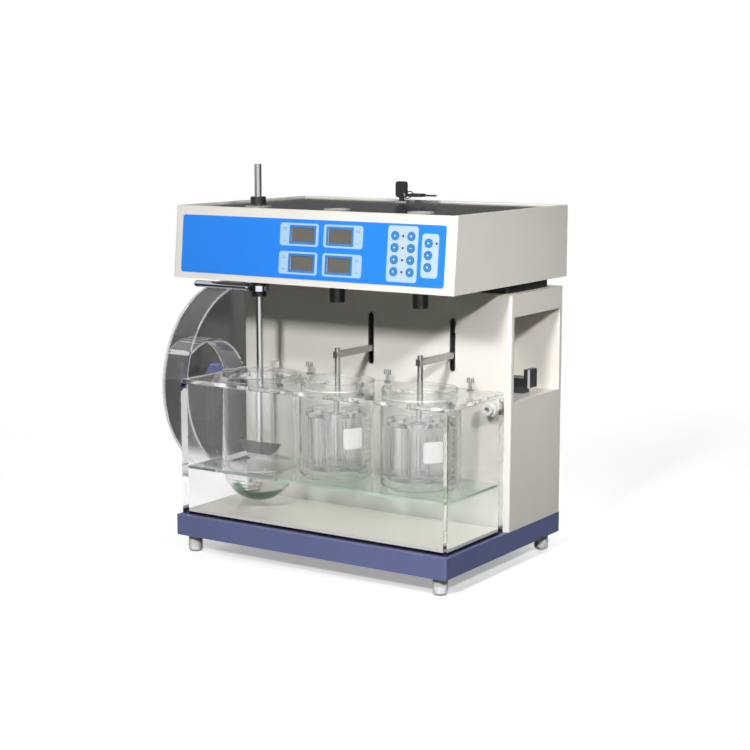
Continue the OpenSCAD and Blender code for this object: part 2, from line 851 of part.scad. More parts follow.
module front_overlay() {
    color(blue) placed() on_panel() difference() {
        face_plate(-overlay_w / 2, overlay_z, overlay_w / 2, overlay_z + overlay_h, 4, -overlay_t, 0);
        for (p = display_places) {
            box([p[0] - display_w / 2, -overlay_t - cut, p[1] - display_h / 2],
                [p[0] + display_w / 2, cut, p[1] + display_h / 2]);
        }
        for (p = key_places) {
            translate([p[0], 0, p[1]]) rod_y(key_hole_d / 2, -overlay_t - cut, cut);
        }
        for (p = led_places) {
            translate([p[0], 0, p[1]]) rod_y(led_d / 2 + seat_gap, -overlay_t - cut, cut);
        }
    }
}

display_lip = 5;
display_depth = 8;
display_sunk = 1.6;

module lcd_displays() {
    w = display_w / 2;
    h = display_h / 2;
    color("#8d9a86") placed() on_panel()
        for (p = display_places) {
            translate([p[0], 0, p[1]]) {
                box([-w + seat_gap, -overlay_t + display_sunk, -h + seat_gap],
                    [w - seat_gap, head_t, h - seat_gap]);
                box([-w - display_lip, head_t, -h - display_lip],
                    [w + display_lip, head_t + display_depth, h + display_lip]);
            }
        }
}

led_proud = 0.5;
led_lip = 0.5;
led_depth = 4;

module indicator_leds() {
    color("#7a1618") placed() on_panel()
        for (p = led_places) {
            translate([p[0], 0, p[1]]) {
                rod_y(led_d / 2, -overlay_t - led_proud, head_t);
                rod_y(led_d / 2 + led_lip, head_t, head_t + led_depth);
            }
        }
}

module panel_key(i) {
    p = key_places[i];
    color("#3d97dd") placed() on_panel() translate([p[0], 0, p[1]]) {
        rod_y(key_d / 2, -overlay_t - key_proud, head_t + run_gap);
        rod_y(key_d / 2 + 1.4, head_t + run_gap, head_t + run_gap + 1.5);
    }
}

module panel_key_1() { panel_key(0); }
module panel_key_2() { panel_key(1); }
module panel_key_3() { panel_key(2); }
module panel_key_4() { panel_key(3); }
module panel_key_5() { panel_key(4); }
module panel_key_6() { panel_key(5); }
module panel_key_7() { panel_key(6); }
module panel_key_8() { panel_key(7); }
module panel_key_9() { panel_key(8); }
module panel_key_10() { panel_key(9); }
module panel_key_11() { panel_key(10); }

// Spindles

housing_wall = 6;
housing_flange = 12;
housing_flange_t = 5;

module spindle_housings() {
    floor_z = head_z + head_t;
    color(black) placed()
        for (i = [0:2]) {
            at_station(i) difference() {
                union() {
                    rod_z(chuck_d / 2, nose_z, floor_z + housing_flange_t);
                    rod_z(chuck_d / 2 + housing_flange, floor_z, floor_z + housing_flange_t);
                    rod_z(spindle_d / 2 + housing_wall, floor_z, housing_top);
                }
                rod_z(spindle_d / 2 + fit_gap, nose_z - cut, housing_top + cut);
            }
        }
}

module spindle(i) {
    color(black) placed() at_station(i) difference() {
        union() {
            rod_z(chuck_d / 2, chuck_z, chuck_z + chuck_h);
            rod_z(spindle_d / 2, chuck_z, spindle_top);
            rod_z(pulley_d / 2, pulley_z, pulley_z + pulley_h);
        }
        rod_z(bore_r, chuck_z - cut, spindle_top + cut);
    }
}

module spindle_left() { spindle(0); }
module spindle_middle() { spindle(1); }
module spindle_right() { spindle(2); }

module belt_line(r) {
    polygon(concat(
        arc(station_pitch, station_y, r, -90, 90, 24),
        arc(-station_pitch, station_y, r, 90, 270, 24)));
}

module spindle_belt() {
    z = pulley_z + (pulley_h - belt_h) / 2;
    color("#2a2a2c") placed() translate([0, 0, z]) linear_extrude(belt_h) difference() {
        belt_line(pulley_d / 2 + run_gap + belt_t);
        belt_line(pulley_d / 2 + run_gap);
    }
}

module motor_pulley() {
    color(steel) placed() translate([drive_x, station_y, 0]) {
        rod_z(pulley_d / 2, pulley_z, pulley_z + pulley_h);
        rod_z(motor_shaft_d / 2, head_z + head_t + motor_l - 12, pulley_z + cut);
    }
}

nose_r = drum_shaft_d / 2 + 4;

// Round gear motor that stands on z = 0, with a hole for its shaft
module motor_body(bore, depth) {
    difference() {
        cylinder(h = motor_l, r = motor_d / 2);
        translate([0, 0, motor_l - depth]) cylinder(h = depth + cut, r = bore);
    }
}

module gear_motors() {
    bore = motor_shaft_d / 2 + fit_gap;
    color("#6d7072") placed() {
        translate([drive_x, station_y, head_z + head_t]) motor_body(bore, 14);
        at_lift_drive() translate([0, column_y + column_t, 0]) rotate([-90, 0, 0]) motor_body(bore, 14);
        at_drum() difference() {
            union() {
                rod_x(motor_d / 2, -column_in, -column_in + motor_l);
                rod_x(nose_r, drum_x + 6, -column_in + cut);
            }
            rod_x(drum_shaft_d / 2 + fit_gap, drum_x, -column_in + motor_l - 4);
        }
    }
}

// Stirrer

blade_drop = sqrt(blade_r * blade_r - blade_half * blade_half);
blade_a0 = atan2(-blade_drop, blade_half);
blade_low = blade_drop + blade_h;
blade_a1 = -asin(blade_low / blade_r);

module stirrer_paddle() {
    color(steel) placed() at_station(0) {
        rod_z(shaft_d / 2, blade_z + 1, shaft_top);
        translate([0, 0, blade_z + blade_h + blade_drop]) rotate([90, 0, 0]) translate([0, 0, -blade_t / 2])
            linear_extrude(blade_t) polygon(concat(
                arc(0, 0, blade_r, blade_a0, blade_a1, 8),
                arc(0, 0, blade_r, 180 - blade_a1, 180 - blade_a0, 8)));
    }
}

module shaft_collar() {
    color(black) placed() at_station(0) difference() {
        rod_z(collar_d / 2, collar_z, collar_z + collar_h);
        rod_z(shaft_d / 2 + seat_gap, collar_z - cut, collar_z + collar_h + cut);
    }
}

module chuck_lever() {
    ring_r = lever_ring_d / 2;
    z = lever_z + lever_ring_h / 2;
    bulb_r = lever_d / 2 + 1.4;
    neck = bulb_r + 1.2;
    reach = lever_l - neck - lever_d / 2;
    color(steel) placed() at_station(0) difference() {
        union() {
            rod_z(ring_r, lever_z, lever_z + lever_ring_h);
            box([-ring_r - neck, -lever_d * 0.4, lever_z + 0.8],
                [0, lever_d * 0.4, lever_z + lever_ring_h - 0.8]);
            translate([-ring_r - neck, 0, z]) rotate([0, -90, 0]) rotate_extrude() intersection() {
                union() {
                    circle(r = bulb_r);
                    square([lever_d / 2, reach]);
                    translate([0, reach]) circle(r = lever_d / 2);
                }
                translate([0, -lever_l]) square([lever_l, 3 * lever_l]);
            }
        }
        rod_z(chuck_d / 2 + fit_gap, lever_z - cut, lever_z + lever_ring_h + cut);
    }
}

// Water bath

tank_x = tank_w / 2;
fitting_tail = 12;
fitting_d = 22;
fittings = [[tank_x - tank_t - fitting_d / 2 - 2, tank_top - fitting_d / 2 - 6],
    [-tank_x + tank_t + fitting_d / 2 + 6, base_top + tank_floor_t + fitting_d / 2 + 6]];

module water_tank() {
    color(clear, 0.4) placed() difference() {
        box([-tank_x, tank_y, base_top], [tank_x, tank_y1, tank_top]);
        box([-tank_x + tank_t, tank_y + tank_t, base_top - cut],
            [tank_x - tank_t, tank_y1 - tank_t, tank_top + cut]);
        for (f = fittings) {
            translate([f[0], 0, f[1]])
                rod_y(fitting_tail / 2 + seat_gap, tank_y1 - tank_t - cut, tank_y1 + cut);
        }
    }
}

module tank_floor() {
    color("#e9e0d0") placed()
        box([-tank_x + tank_t, tank_y + tank_t, base_top],
            [tank_x - tank_t, tank_y1 - tank_t, base_top + tank_floor_t]);
}

post_off = 40;
post_back = 11;
post_front = 30;
post_places = concat(
    [for (i = [0:2]) [(i - 1) * station_pitch + post_off, tank_y1 - post_back]],
    [for (i = [0:1]) [(i - 0.5) * station_pitch, tank_y + post_front]]);
probe_d = 5;
probe_off = 24;
probe_gap = 1;
probe_cap_d = 14;
probe_cap_h = 14;
probe_rise = 12;
probe_place = [-station_pitch - probe_off, tank_y1 - tank_t - probe_d / 2 - probe_gap];

module tank_cover() {
    color(clear, 0.4) placed() difference() {
        plate(-tank_x, tank_y, tank_x, tank_y1, 3, tank_top, cover_top);
        at_station(0) rod_z(vessel_od / 2 + cover_hole_gap, tank_top - cut, cover_top + cut);
        for (i = basket_stations) {
            at_station(i) rod_z(beaker_od / 2 + cover_hole_gap, tank_top - cut, cover_top + cut);
        }
        translate([probe_place[0], probe_place[1], 0])
            rod_z(probe_d / 2 + run_gap, tank_top - cut, cover_top + cut);
    }
}

module vessel_shelf() {
    color(clear, 0.4) placed() difference() {
        box([-tank_x + tank_t, tank_y + tank_t, shelf_top - shelf_t],
            [tank_x - tank_t, tank_y1 - tank_t, shelf_top]);
        at_station(0) rod_z(vessel_od / 2 + 2, shelf_top - shelf_t - cut, shelf_top + cut);
    }
}

module dissolution_vessel() {
    r = vessel_od / 2;
    ri = r - vessel_t;
    zc = vessel_low + r;
    top = cover_top + vessel_flange_t;
    color(clear, 0.4) placed() at_station(0) rotate_extrude() polygon(concat(
        arc(0, zc, r, -90, 0, 14),
        [[r, cover_top], [r + vessel_flange, cover_top], [r + vessel_flange, top], [ri, top]],
        arc(0, zc, ri, 0, -90, 14)));
}

module beaker_shape() {
    r = beaker_od / 2;
    ri = r - beaker_t;
    q = beaker_r - beaker_t;
    rim = shelf_top + beaker_h;
    spout_x = -r + spout_out;
    difference() {
        union() {
            rotate_extrude() polygon(concat(
                [[0, shelf_top]],
                arc(r - beaker_r, shelf_top + beaker_r, beaker_r, -90, 0, 6),
                [[r, rim], [0, rim]]));
            translate([spout_x, 0, rim - spout_h])
                cylinder(h = spout_h, r1 = spout_out - 1, r2 = spout_out * 2);
        }
        rotate_extrude() polygon(concat(
            [[0, shelf_top + beaker_t]],
            arc(ri - q, shelf_top + beaker_t + q, q, -90, 0, 6),
            [[ri, rim + cut], [0, rim + cut]]));
        translate([spout_x, 0, rim - spout_h + beaker_t])
            cylinder(h = spout_h, r1 = spout_out - 1 - beaker_t / 2, r2 = spout_out * 2 - beaker_t / 2);
    }
}

module beakers() {
    color(clear, 0.4) placed()
        for (i = basket_stations) {
            at_station(i) beaker_shape();
        }
}

module cover_posts() {
    color(clear, 0.6) placed()
        for (p = post_places) {
            translate([p[0], p[1], cover_top]) {
                cylinder(h = post_h, r = post_d / 2);
                cylinder(h = 2, r = post_d);
                translate([0, 0, post_h - 4]) box([-post_d, -1.5, 0], [post_d, 1.5, 2]);
                for (s = [-1, 1]) {
                    translate([s * (post_d - 1.5), 0, post_h - 4]) box([-1.5, -1.5, 0], [1.5, 1.5, 7]);
                }
            }
        }
}

module temperature_probe() {
    color("#f4f4f2") placed() translate([probe_place[0], probe_place[1], 0]) {
        rod_z(probe_cap_d / 2, cover_top, cover_top + probe_cap_h);
        rod_z(probe_d / 2, shelf_top + probe_rise, cover_top + cut);
    }
}

module tank_fittings() {
    inner = tank_y1 - tank_t;
    color("#f4f4f2") placed()
        for (f = fittings) {
            translate([f[0], 0, f[1]]) difference() {
                union() {
                    rod_y(fitting_d / 2, inner - 5, inner);
                    rod_y(fitting_d / 2 - 3, inner - 12, inner - 5);
                    rod_y(fitting_tail / 2, inner - 5, column_y + column_t);
                    rod_y(fitting_d / 2 - 1, tank_y1, tank_y1 + tank_gap * 0.7);
                }
                rod_y(fitting_tail / 2 - 2, inner - 13, column_y + column_t + cut);
            }
        }
}

// Baskets and lift

guide_x = [guide_in, station_pitch - guide_in];

module guide_rods() {
    color(steel) placed()
        for (x = guide_x) {
            translate([x, guide_y, 0]) rod_z(guide_d / 2, base_top, column_top - column_t);
        }
}

rack_k0 = floor(-(lift_up + rack_room) / gear_p);
rack_k1 = floor((lift_down + rack_room) / gear_p);
rack_tip_h = gear_p / 4 - gear_backlash / 4 - gear_m * tan(20);
rack_root_h = gear_p / 4 - gear_backlash / 4 + 1.25 * gear_m * tan(20);

function rack_points() = concat(
    [for (k = [rack_k0:rack_k1], j = [0:3])
        [rack_line + (j == 1 || j == 2 ? -gear_m : 1.25 * gear_m),
        (k + 0.5) * gear_p + [-rack_root_h, -rack_tip_h, rack_tip_h, rack_root_h][j]]],
    [[rack_back, (rack_k1 + 0.5) * gear_p + rack_root_h],
        [rack_back, (rack_k0 + 0.5) * gear_p - rack_root_h]]);

module lift_carriage() {
    color("#9aa0a6") placed() union() {
        difference() {
            box([-carriage_over, carriage_y, arm_z - carriage_h / 2],
                [station_pitch + carriage_over, carriage_y + carriage_d, arm_z + carriage_h / 2]);
            for (x = guide_x) {
                translate([x, guide_y, 0])
                    rod_z((guide_d + guide_clear) / 2, arm_z - carriage_h, arm_z + carriage_h);
            }
        }
        at_lift_drive() translate([0, gear_y0 + gear_w, 0]) rotate([90, 0, 0])
            linear_extrude(gear_w) polygon(rack_points());
        at_lift_drive() box([rack_line + 1.25 * gear_m + 1, gear_y0 + gear_w - cut, -carriage_h / 2],
            [rack_back, carriage_y + cut, carriage_h / 2]);
    }
}

module basket_hangers() {
    color(steel) placed()
        for (i = basket_stations) {
            at_station(i) {
                rod_z(rod_d / 2, rack_z + rack_t, arm_z + arm_h / 2 + rod_over);
                box([-arm_w / 2, -rod_d / 2 - 2, arm_z - arm_h / 2],
                    [arm_w / 2, carriage_y - station_y, arm_z + arm_h / 2]);
            }
        }
}

tube_od = tube_id + 2 * tube_t;

module tube_ring_places() {
    for (k = [0:5]) {
        rotate([0, 0, k * 60]) translate([tube_ring, 0, 0]) children();
    }
}

module basket_racks() {
    seat = tube_od / 2 + seat_gap;
    color(clear, 0.6) placed()
        for (i = basket_stations) {
            at_station(i) {
                difference() {
                    rod_z(rack_d / 2, rack_top - rack_t, rack_top);
                    rod_z(rod_d / 2 + seat_gap, rack_top - rack_t - cut, rack_top + cut);
                    tube_ring_places() rod_z(seat, rack_top - rack_t - cut, rack_top + cut);
                }
                difference() {
                    rod_z(rack_d / 2, rack_z, rack_z + rack_t);
                    tube_ring_places() {
                        rod_z(tube_id / 2, rack_z - cut, rack_z + rack_t + cut);
                        rod_z(seat, rack_z + rack_t - tube_seat, rack_z + rack_t + cut);
                    }
                }
                for (k = [0:2]) {
                    rotate([0, 0, 30 + 120 * k]) translate([rack_d / 2 - pillar_d / 2 - 1, 0, 0])
                        rod_z(pillar_d / 2, rack_z + rack_t, rack_top - rack_t);
                }
                rod_z(rack_d / 2 - 4, rack_z - screen_t, rack_z);
            }
        }
}

module basket_tubes() {
    color(clear, 0.5) placed()
        for (i = basket_stations) {
            at_station(i) tube_ring_places() difference() {
                rod_z(tube_od / 2, rack_z + rack_t - tube_seat, rack_top);
                rod_z(tube_id / 2, rack_z, rack_top + cut);
            }
        }
}

// Involute outline of the lift pinion, with a tooth on the side of the rack
gear_steps = 5;
function gear_inv(a) = tan(a) * 180 / PI - a;
function gear_half(r) = 90 / gear_teeth - gear_backlash / 4 / gear_rp * 180 / PI + gear_inv(20)
    - gear_inv(acos(min(1, gear_rb / r)));
gear_radii = concat([gear_rf], [for (i = [0:gear_steps]) gear_rb + (gear_ra - gear_rb) * i / gear_steps]);
gear_count = len(gear_radii);
function gear_points() = [for (k = [0:gear_teeth - 1], j = [0:2 * gear_count - 1])
    let (s = j < gear_count ? -1 : 1,
        r = gear_radii[j < gear_count ? j : 2 * gear_count - 1 - j],
        a = k * 360 / gear_teeth + s * gear_half(max(r, gear_rb)))
    [r * cos(a), r * sin(a)]];

module lift_pinion() {
    color(steel) placed() at_lift_drive() {
        translate([0, gear_y0 + gear_w, 0]) rotate([90, 0, 0]) linear_extrude(gear_w) polygon(gear_points());
        rod_y(motor_shaft_d / 2, column_y + column_t + motor_l - 12, gear_y0 + cut);
    }
}

// Friability drum

drum_r = drum_od / 2;

module drum_dish() {
    color(clear, 0.4) placed() at_drum() difference() {
        union() {
            difference() {
                rod_x(drum_r, drum_end + drum_t, drum_x);
                rod_x(drum_r - drum_t, drum_end, drum_x - drum_t);
            }
            rod_x(hub_d / 2, drum_end + drum_t, drum_x - drum_t + cut);
        }
        rod_x(drum_shaft_d / 2 + seat_gap, drum_end - cut, drum_x + cut);
    }
}

module drum_cover() {
    color(clear, 0.4) placed() at_drum() difference() {
        rod_x(drum_r, drum_end, drum_end + drum_t);
        rod_x(drum_shaft_d / 2 + seat_gap, drum_end - cut, drum_end + drum_t + cut);
    }
}

// The scoop is an arc from the hub to the rim, seen along X with the rear to the right
scoop_rim = [(drum_r - drum_t) * cos(scoop_angle), (drum_r - drum_t) * sin(scoop_angle)];
scoop_hub = [-hub_d / 2 + 4, 6];
scoop_span = norm(scoop_rim - scoop_hub);
scoop_side = [-(scoop_rim - scoop_hub)[1], (scoop_rim - scoop_hub)[0]] / scoop_span;
scoop_mid = (scoop_rim + scoop_hub) / 2;
scoop_c = scoop_mid + scoop_side * sqrt(scoop_r * scoop_r - scoop_span * scoop_span / 4);
scoop_a0 = atan2(scoop_hub[1] - scoop_c[1], scoop_hub[0] - scoop_c[0]) - 4;
scoop_a1 = atan2(scoop_rim[1] - scoop_c[1], scoop_rim[0] - scoop_c[0]) + 4;

module drum_scoop() {
    color(clear, 0.4) placed() at_drum() difference() {
        intersection() {
            translate([drum_end + drum_t + seat_gap, 0, 0]) rotate([90, 0, 90])
                linear_extrude(drum_w - 2 * drum_t - 2 * seat_gap) polygon(concat(
                    arc(scoop_c[0], scoop_c[1], scoop_r, scoop_a0, scoop_a1, 20),
                    arc(scoop_c[0], scoop_c[1], scoop_r + scoop_t, scoop_a1, scoop_a0, 20)));
            rod_x(drum_r - drum_t - seat_gap, drum_end, drum_x);
        }
        rod_x(hub_d / 2 + seat_gap, drum_end - cut, drum_x + cut);
    }
}

module drum_shaft() {
    color(steel) placed() at_drum() {
        rod_x(drum_shaft_d / 2, nut_end + 6, -column_in + motor_l - 8);
        rod_x(shoulder_d / 2, drum_x, drum_x + 5);
    }
}

module drum_nut() {
    r = nut_d / 2;
    color("#3a55c8") placed() at_drum() difference() {
        union() {
            rod_x(r - 5, drum_end - nut_neck, drum_end);
            rod_x(r, nut_end, drum_end - nut_neck);
        }
        rod_x(drum_shaft_d / 2 + seat_gap, nut_end + 6, drum_end + cut);
        for (k = [0:nut_flutes - 1]) {
            rotate([k * 360 / nut_flutes, 0, 0]) translate([0, r + 1.5, 0])
                rod_x(3.5, nut_end - cut, drum_end - nut_neck - 3);
        }
    }
}

// Hardness bay

module hardness_bay() {
    x1 = column_w / 2;
    r = bay_r;
    y0 = bay_y0 + bay_t;
    y1 = bay_y1 - bay_t;
    color(cream) placed() difference() {
        box([bay_x - bay_t, bay_y0, bay_z], [x1, bay_y1, bay_z + bay_h]);
        translate([0, 0, bay_z + bay_t]) linear_extrude(bay_h - 2 * bay_t) polygon(concat(
            [[x1 + cut, y0], [x1 + cut, y1], [bay_x + r, y1]],
            arc(bay_x + r, y1 - r, r, 90, 180, 8),
            [[bay_x, y0]]));
    }
}

rail_x = column_w / 2 - rail_in;
rail_y = bay_y0 + rail_back;
rail_z = bay_z + bay_t;
jaw_x = column_w / 2 - jaw_in;
jaw_z = rail_z + rail_h + run_gap;
bar_x = bay_x + post_t + 1 + jaw_travel;
tongue_x = jaw_x - jaw_travel - 3;
tongue_y = rail_y + rail_w / 2;
anvil_x = jaw_x - jaw_t - tablet_room;
anvil_d = jaw_h - bar_h - 3;

// The tablet is crushed against the anvil, a rod on a post at the rail's inner end
module hardness_rail() {
    color("#4a4c50") placed() {
        box([bay_x, rail_y, rail_z], [rail_x, rail_y + rail_w, rail_z + rail_h]);
        box([bay_x, rail_y, rail_z], [bay_x + post_t, rail_y + rail_w, jaw_z + jaw_h]);
        box([bay_x, tongue_y - tongue_w / 2, rail_z],
            [tongue_x, tongue_y + tongue_w / 2, rail_z + rail_h + tongue_h]);
        translate([0, tongue_y, jaw_z + (jaw_h + bar_h) / 2]) rod_x(anvil_d / 2, bay_x + cut, anvil_x);
    }
}

// The jaw is an upright on a bar, with a blind groove for the rail's tongue
module hardness_jaw() {
    y1 = rail_y + jaw_d;
    side = tongue_w / 2 + run_gap;
    color("#3f4145") placed() difference() {
        union() {
            translate([0, 0, jaw_z]) linear_extrude(jaw_h) polygon([
                [jaw_x - jaw_t, rail_y], [jaw_x - jaw_bevel, rail_y], [jaw_x, rail_y + jaw_bevel],
                [jaw_x, y1], [jaw_x - jaw_t, y1]]);
            box([bar_x, rail_y, jaw_z], [jaw_x - jaw_t + cut, y1, jaw_z + bar_h]);
        }
        box([bar_x - cut, tongue_y - side, jaw_z - cut],
            [jaw_x - 2.5, tongue_y + side, rail_z + rail_h + tongue_h + run_gap]);
    }
}

// Power

inlet_depth = 22;
inlet_face = 2.5;
inlet_lip_x = 7;
inlet_lip_z = 5;
inlet_wall_x = 4;
inlet_wall_z = 3;
inlet_end = 3;
inlet_room = 1;

module power_inlet() {
    z = base_top + inlet_rise;
    y0 = rear_face - inlet_depth;
    color(black) placed() {
        translate([inlet_x, 0, z]) difference() {
            union() {
                face_plate(-inlet_w / 2, -inlet_h / 2, inlet_w / 2, inlet_h / 2, 3,
                    column_back, column_back + inlet_face);
                box([-inlet_w / 2 + inlet_lip_x, y0, -inlet_h / 2 + inlet_lip_z],
                    [inlet_w / 2 - inlet_lip_x, column_back + cut, inlet_h / 2 - inlet_lip_z]);
            }
            box([-inlet_w / 2 + inlet_lip_x + inlet_wall_x, y0 + inlet_end,
                    -inlet_h / 2 + inlet_lip_z + inlet_wall_z],
                [inlet_w / 2 - inlet_lip_x - inlet_wall_x, column_back + inlet_face + cut,
                    inlet_h / 2 - inlet_lip_z - inlet_wall_z]);
        }
        translate([inlet_x + rocker_off, column_back, z]) difference() {
            union() {
                face_plate(-rocker_l / 2 - 5, -rocker_d / 2 - 5, rocker_l / 2 + 5, rocker_d / 2 + 5,
                    2, 0, 2.5);
                box([-rocker_l / 2 - 2.5, -rocker_d - 4, -rocker_d / 2 - 2.5],
                    [rocker_l / 2 + 2.5, cut, rocker_d / 2 + 2.5]);
            }
            box([-rocker_l / 2 - run_gap, -rocker_d - 1, -rocker_d / 2 - run_gap],
                [rocker_l / 2 + run_gap, 5, rocker_d / 2 + run_gap]);
            translate([0, rocker_y, 0]) rod_x(1.5 + fit_gap, -rocker_l / 2 - 2, rocker_l / 2 + 2);
        }
    }
}

rocker_y = 2.5 - rocker_d / 2;

module power_rocker() {
    z = base_top + inlet_rise;
    r = rocker_d / 2;
    color("#202022") placed() translate([inlet_x + rocker_off, column_back + rocker_y, z]) {
        difference() {
            rod_x(r, -rocker_l / 2, rocker_l / 2);
            for (s = [-1, 1]) {
                rotate([s * 8, 0, 0]) box([-rocker_l, r - 1.5, s > 0 ? -0.01 : -rocker_l],
                    [rocker_l, r + 2, s > 0 ? rocker_l : 0.01]);
            }
        }
        rod_x(1.5, -rocker_l / 2 - 1.7, rocker_l / 2 + 1.7);
    }
}

base_tray();
rubber_feet();
column_shell();
rear_cover();
case_screws();
neck_spacer();
hardness_bay();
head_case();
head_lid();
lid_rings();
lock_barrel();
lock_keys();
front_overlay();
lcd_displays();
indicator_leds();
panel_key_1();
panel_key_2();
panel_key_3();
panel_key_4();
panel_key_5();
panel_key_6();
panel_key_7();
panel_key_8();
panel_key_9();
panel_key_10();
panel_key_11();
spindle_housings();
spindle_left();
spindle_middle();
spindle_right();
spindle_belt();
motor_pulley();
gear_motors();
stirrer_paddle();
shaft_collar();
chuck_lever();
water_tank();
tank_floor();
tank_cover();
vessel_shelf();
dissolution_vessel();
beakers();
cover_posts();
temperature_probe();
tank_fittings();
guide_rods();
lift_carriage();
basket_hangers();
basket_racks();
basket_tubes();
lift_pinion();
drum_dish();
drum_cover();
drum_scoop();
drum_shaft();
drum_nut();
hardness_rail();
hardness_jaw();
power_inlet();
power_rocker();
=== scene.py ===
"""Looks of a four-function tablet tester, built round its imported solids.

Lengths are millimetres unless a name ends in _m. Bench places start at the middle of
the base's front edge on the floor: x to the right, y to the back, z up.
"""

import logging
import math
from dataclasses import dataclass
from enum import Enum
from functools import lru_cache
from typing import Any, Optional, Sequence, Union

import bmesh
import bpy
from mathutils import Euler, Matrix, Vector


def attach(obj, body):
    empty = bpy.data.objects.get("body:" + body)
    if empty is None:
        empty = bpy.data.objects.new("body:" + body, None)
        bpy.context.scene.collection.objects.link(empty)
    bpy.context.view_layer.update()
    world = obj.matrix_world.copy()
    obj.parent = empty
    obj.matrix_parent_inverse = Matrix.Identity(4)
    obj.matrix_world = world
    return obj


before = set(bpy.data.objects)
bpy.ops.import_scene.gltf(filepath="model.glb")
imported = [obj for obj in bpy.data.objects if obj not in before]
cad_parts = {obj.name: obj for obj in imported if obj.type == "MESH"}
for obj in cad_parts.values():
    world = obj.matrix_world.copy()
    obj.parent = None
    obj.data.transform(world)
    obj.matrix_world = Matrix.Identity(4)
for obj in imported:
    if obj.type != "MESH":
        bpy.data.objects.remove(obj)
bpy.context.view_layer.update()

LOG = logging.getLogger("tablet_tester")
MM = 0.001
BENCH_X, BENCH_Y = 41.0, -169.75

Point = tuple[float, float]
Place = tuple[float, float, float]
Outline = list[Point]
Colour = tuple[float, float, float, float]
WHITE: Colour = (1.0, 1.0, 1.0, 1.0)


def linear(code: str) -> Colour:
    """Turns an sRGB hex colour into linear light.

    Args:
        code: colour such as "#efebe4".

    Returns:
        Linear red, green, blue and an alpha of 1.
    """
    parts = [int(code[i:i + 2], 16) / 255 for i in (1, 3, 5)]
    red, green, blue = (p / 12.92 if p <= 0.04045 else ((p + 0.055) / 1.055) ** 2.4 for p in parts)
    return (red, green, blue, 1.0)


def per_mm(size: float) -> float:
    """Texture scale whose features are about that many millimetres across."""
    return 1.0 / (size * MM)


def bench(x: float, y: float, z: float) -> Vector:
    """Row-frame place, in metres, of a bench place in millimetres."""
    return Vector(((x + BENCH_X) * MM, (y + BENCH_Y) * MM, z * MM))


def look_at(place_m: Place, aim_m: Place) -> Euler:
    """Turn that points a lamp or a camera from one place at another."""
    return (Vector(aim_m) - Vector(place_m)).to_track_quat("-Z", "Y").to_euler()


def add_node(tree: bpy.types.NodeTree, kind: str, settings: Optional[dict[Any, Any]] = None,
             links: Optional[dict[Any, bpy.types.NodeSocket]] = None) -> bpy.types.Node:
    """Adds a shader node with its settings and links.

    A Mix node's inputs 2 and 3 are its numbers and 6 and 7 its colours, its output 2 is the
    mixed colour.

    Args:
        tree: node tree that gets the node.
        kind: Blender's name for the node's class.
        settings: values by socket name or number, or by property name.
        links: sockets that feed the node's inputs, by name or number.

    Returns:
        The new node.
    """
    node = tree.nodes.new(kind)
    for key, value in (settings or {}).items():
        if isinstance(key, int) or key in node.inputs:
            node.inputs[key].default_value = value
        else:
            setattr(node, key, value)
    for key, source in (links or {}).items():
        tree.links.new(source, node.inputs[key])
    return node


def blank_material(name: str) -> tuple[bpy.types.Material, bpy.types.NodeTree, bpy.types.Node]:
    """Makes a material with one Principled shader.

    Args:
        name: material's name.

    Returns:
        The material, its node tree and its Principled node.
    """
    material = bpy.data.materials.new(name)
    material.use_nodes = True
    tree = material.node_tree
    return material, tree, tree.nodes["Principled BSDF"]


@dataclass(frozen=True)
class Coating:
    """An opaque finish: paint, moulded plastic, rubber or printed film.

    Mottle is a slow drift of tint and gloss, grain is the fine relief.
    """

    name: str
    tint: str
    shade: str
    rough: Point
    mottle: float
    grain: float
    relief: float
    coat: float = 0.0
    metallic: float = 0.0

    def make(self) -> bpy.types.Material:
        """Builds the node tree.

        Returns:
            The finished material.
        """
        material, tree, shader = blank_material(self.name)
        where = add_node(tree, "ShaderNodeTexCoord").outputs["Object"]
        drift = add_node(tree, "ShaderNodeTexNoise", {"Scale": per_mm(self.mottle), "Detail": 4.0},
                         {"Vector": where}).outputs["Fac"]
        fine = add_node(tree, "ShaderNodeTexNoise", {"Scale": per_mm(self.grain), "Detail": 2.0},
                        {"Vector": where}).outputs["Fac"]
        tint = add_node(tree, "ShaderNodeMix",
                        {"data_type": "RGBA", 6: linear(self.tint), 7: linear(self.shade)}, {0: drift})
        gloss = add_node(tree, "ShaderNodeMapRange", {"To Min": self.rough[0], "To Max": self.rough[1]},
                         {"Value": drift})
        bump = add_node(tree, "ShaderNodeBump", {"Strength": 1.0, "Distance": self.relief * MM},
                        {"Height": fine})
        shader.inputs["Metallic"].default_value = self.metallic
        shader.inputs["Coat Weight"].default_value = self.coat
        tree.links.new(tint.outputs[2], shader.inputs["Base Color"])
        tree.links.new(gloss.outputs["Result"], shader.inputs["Roughness"])
        tree.links.new(bump.outputs["Normal"], shader.inputs["Normal"])
        return material


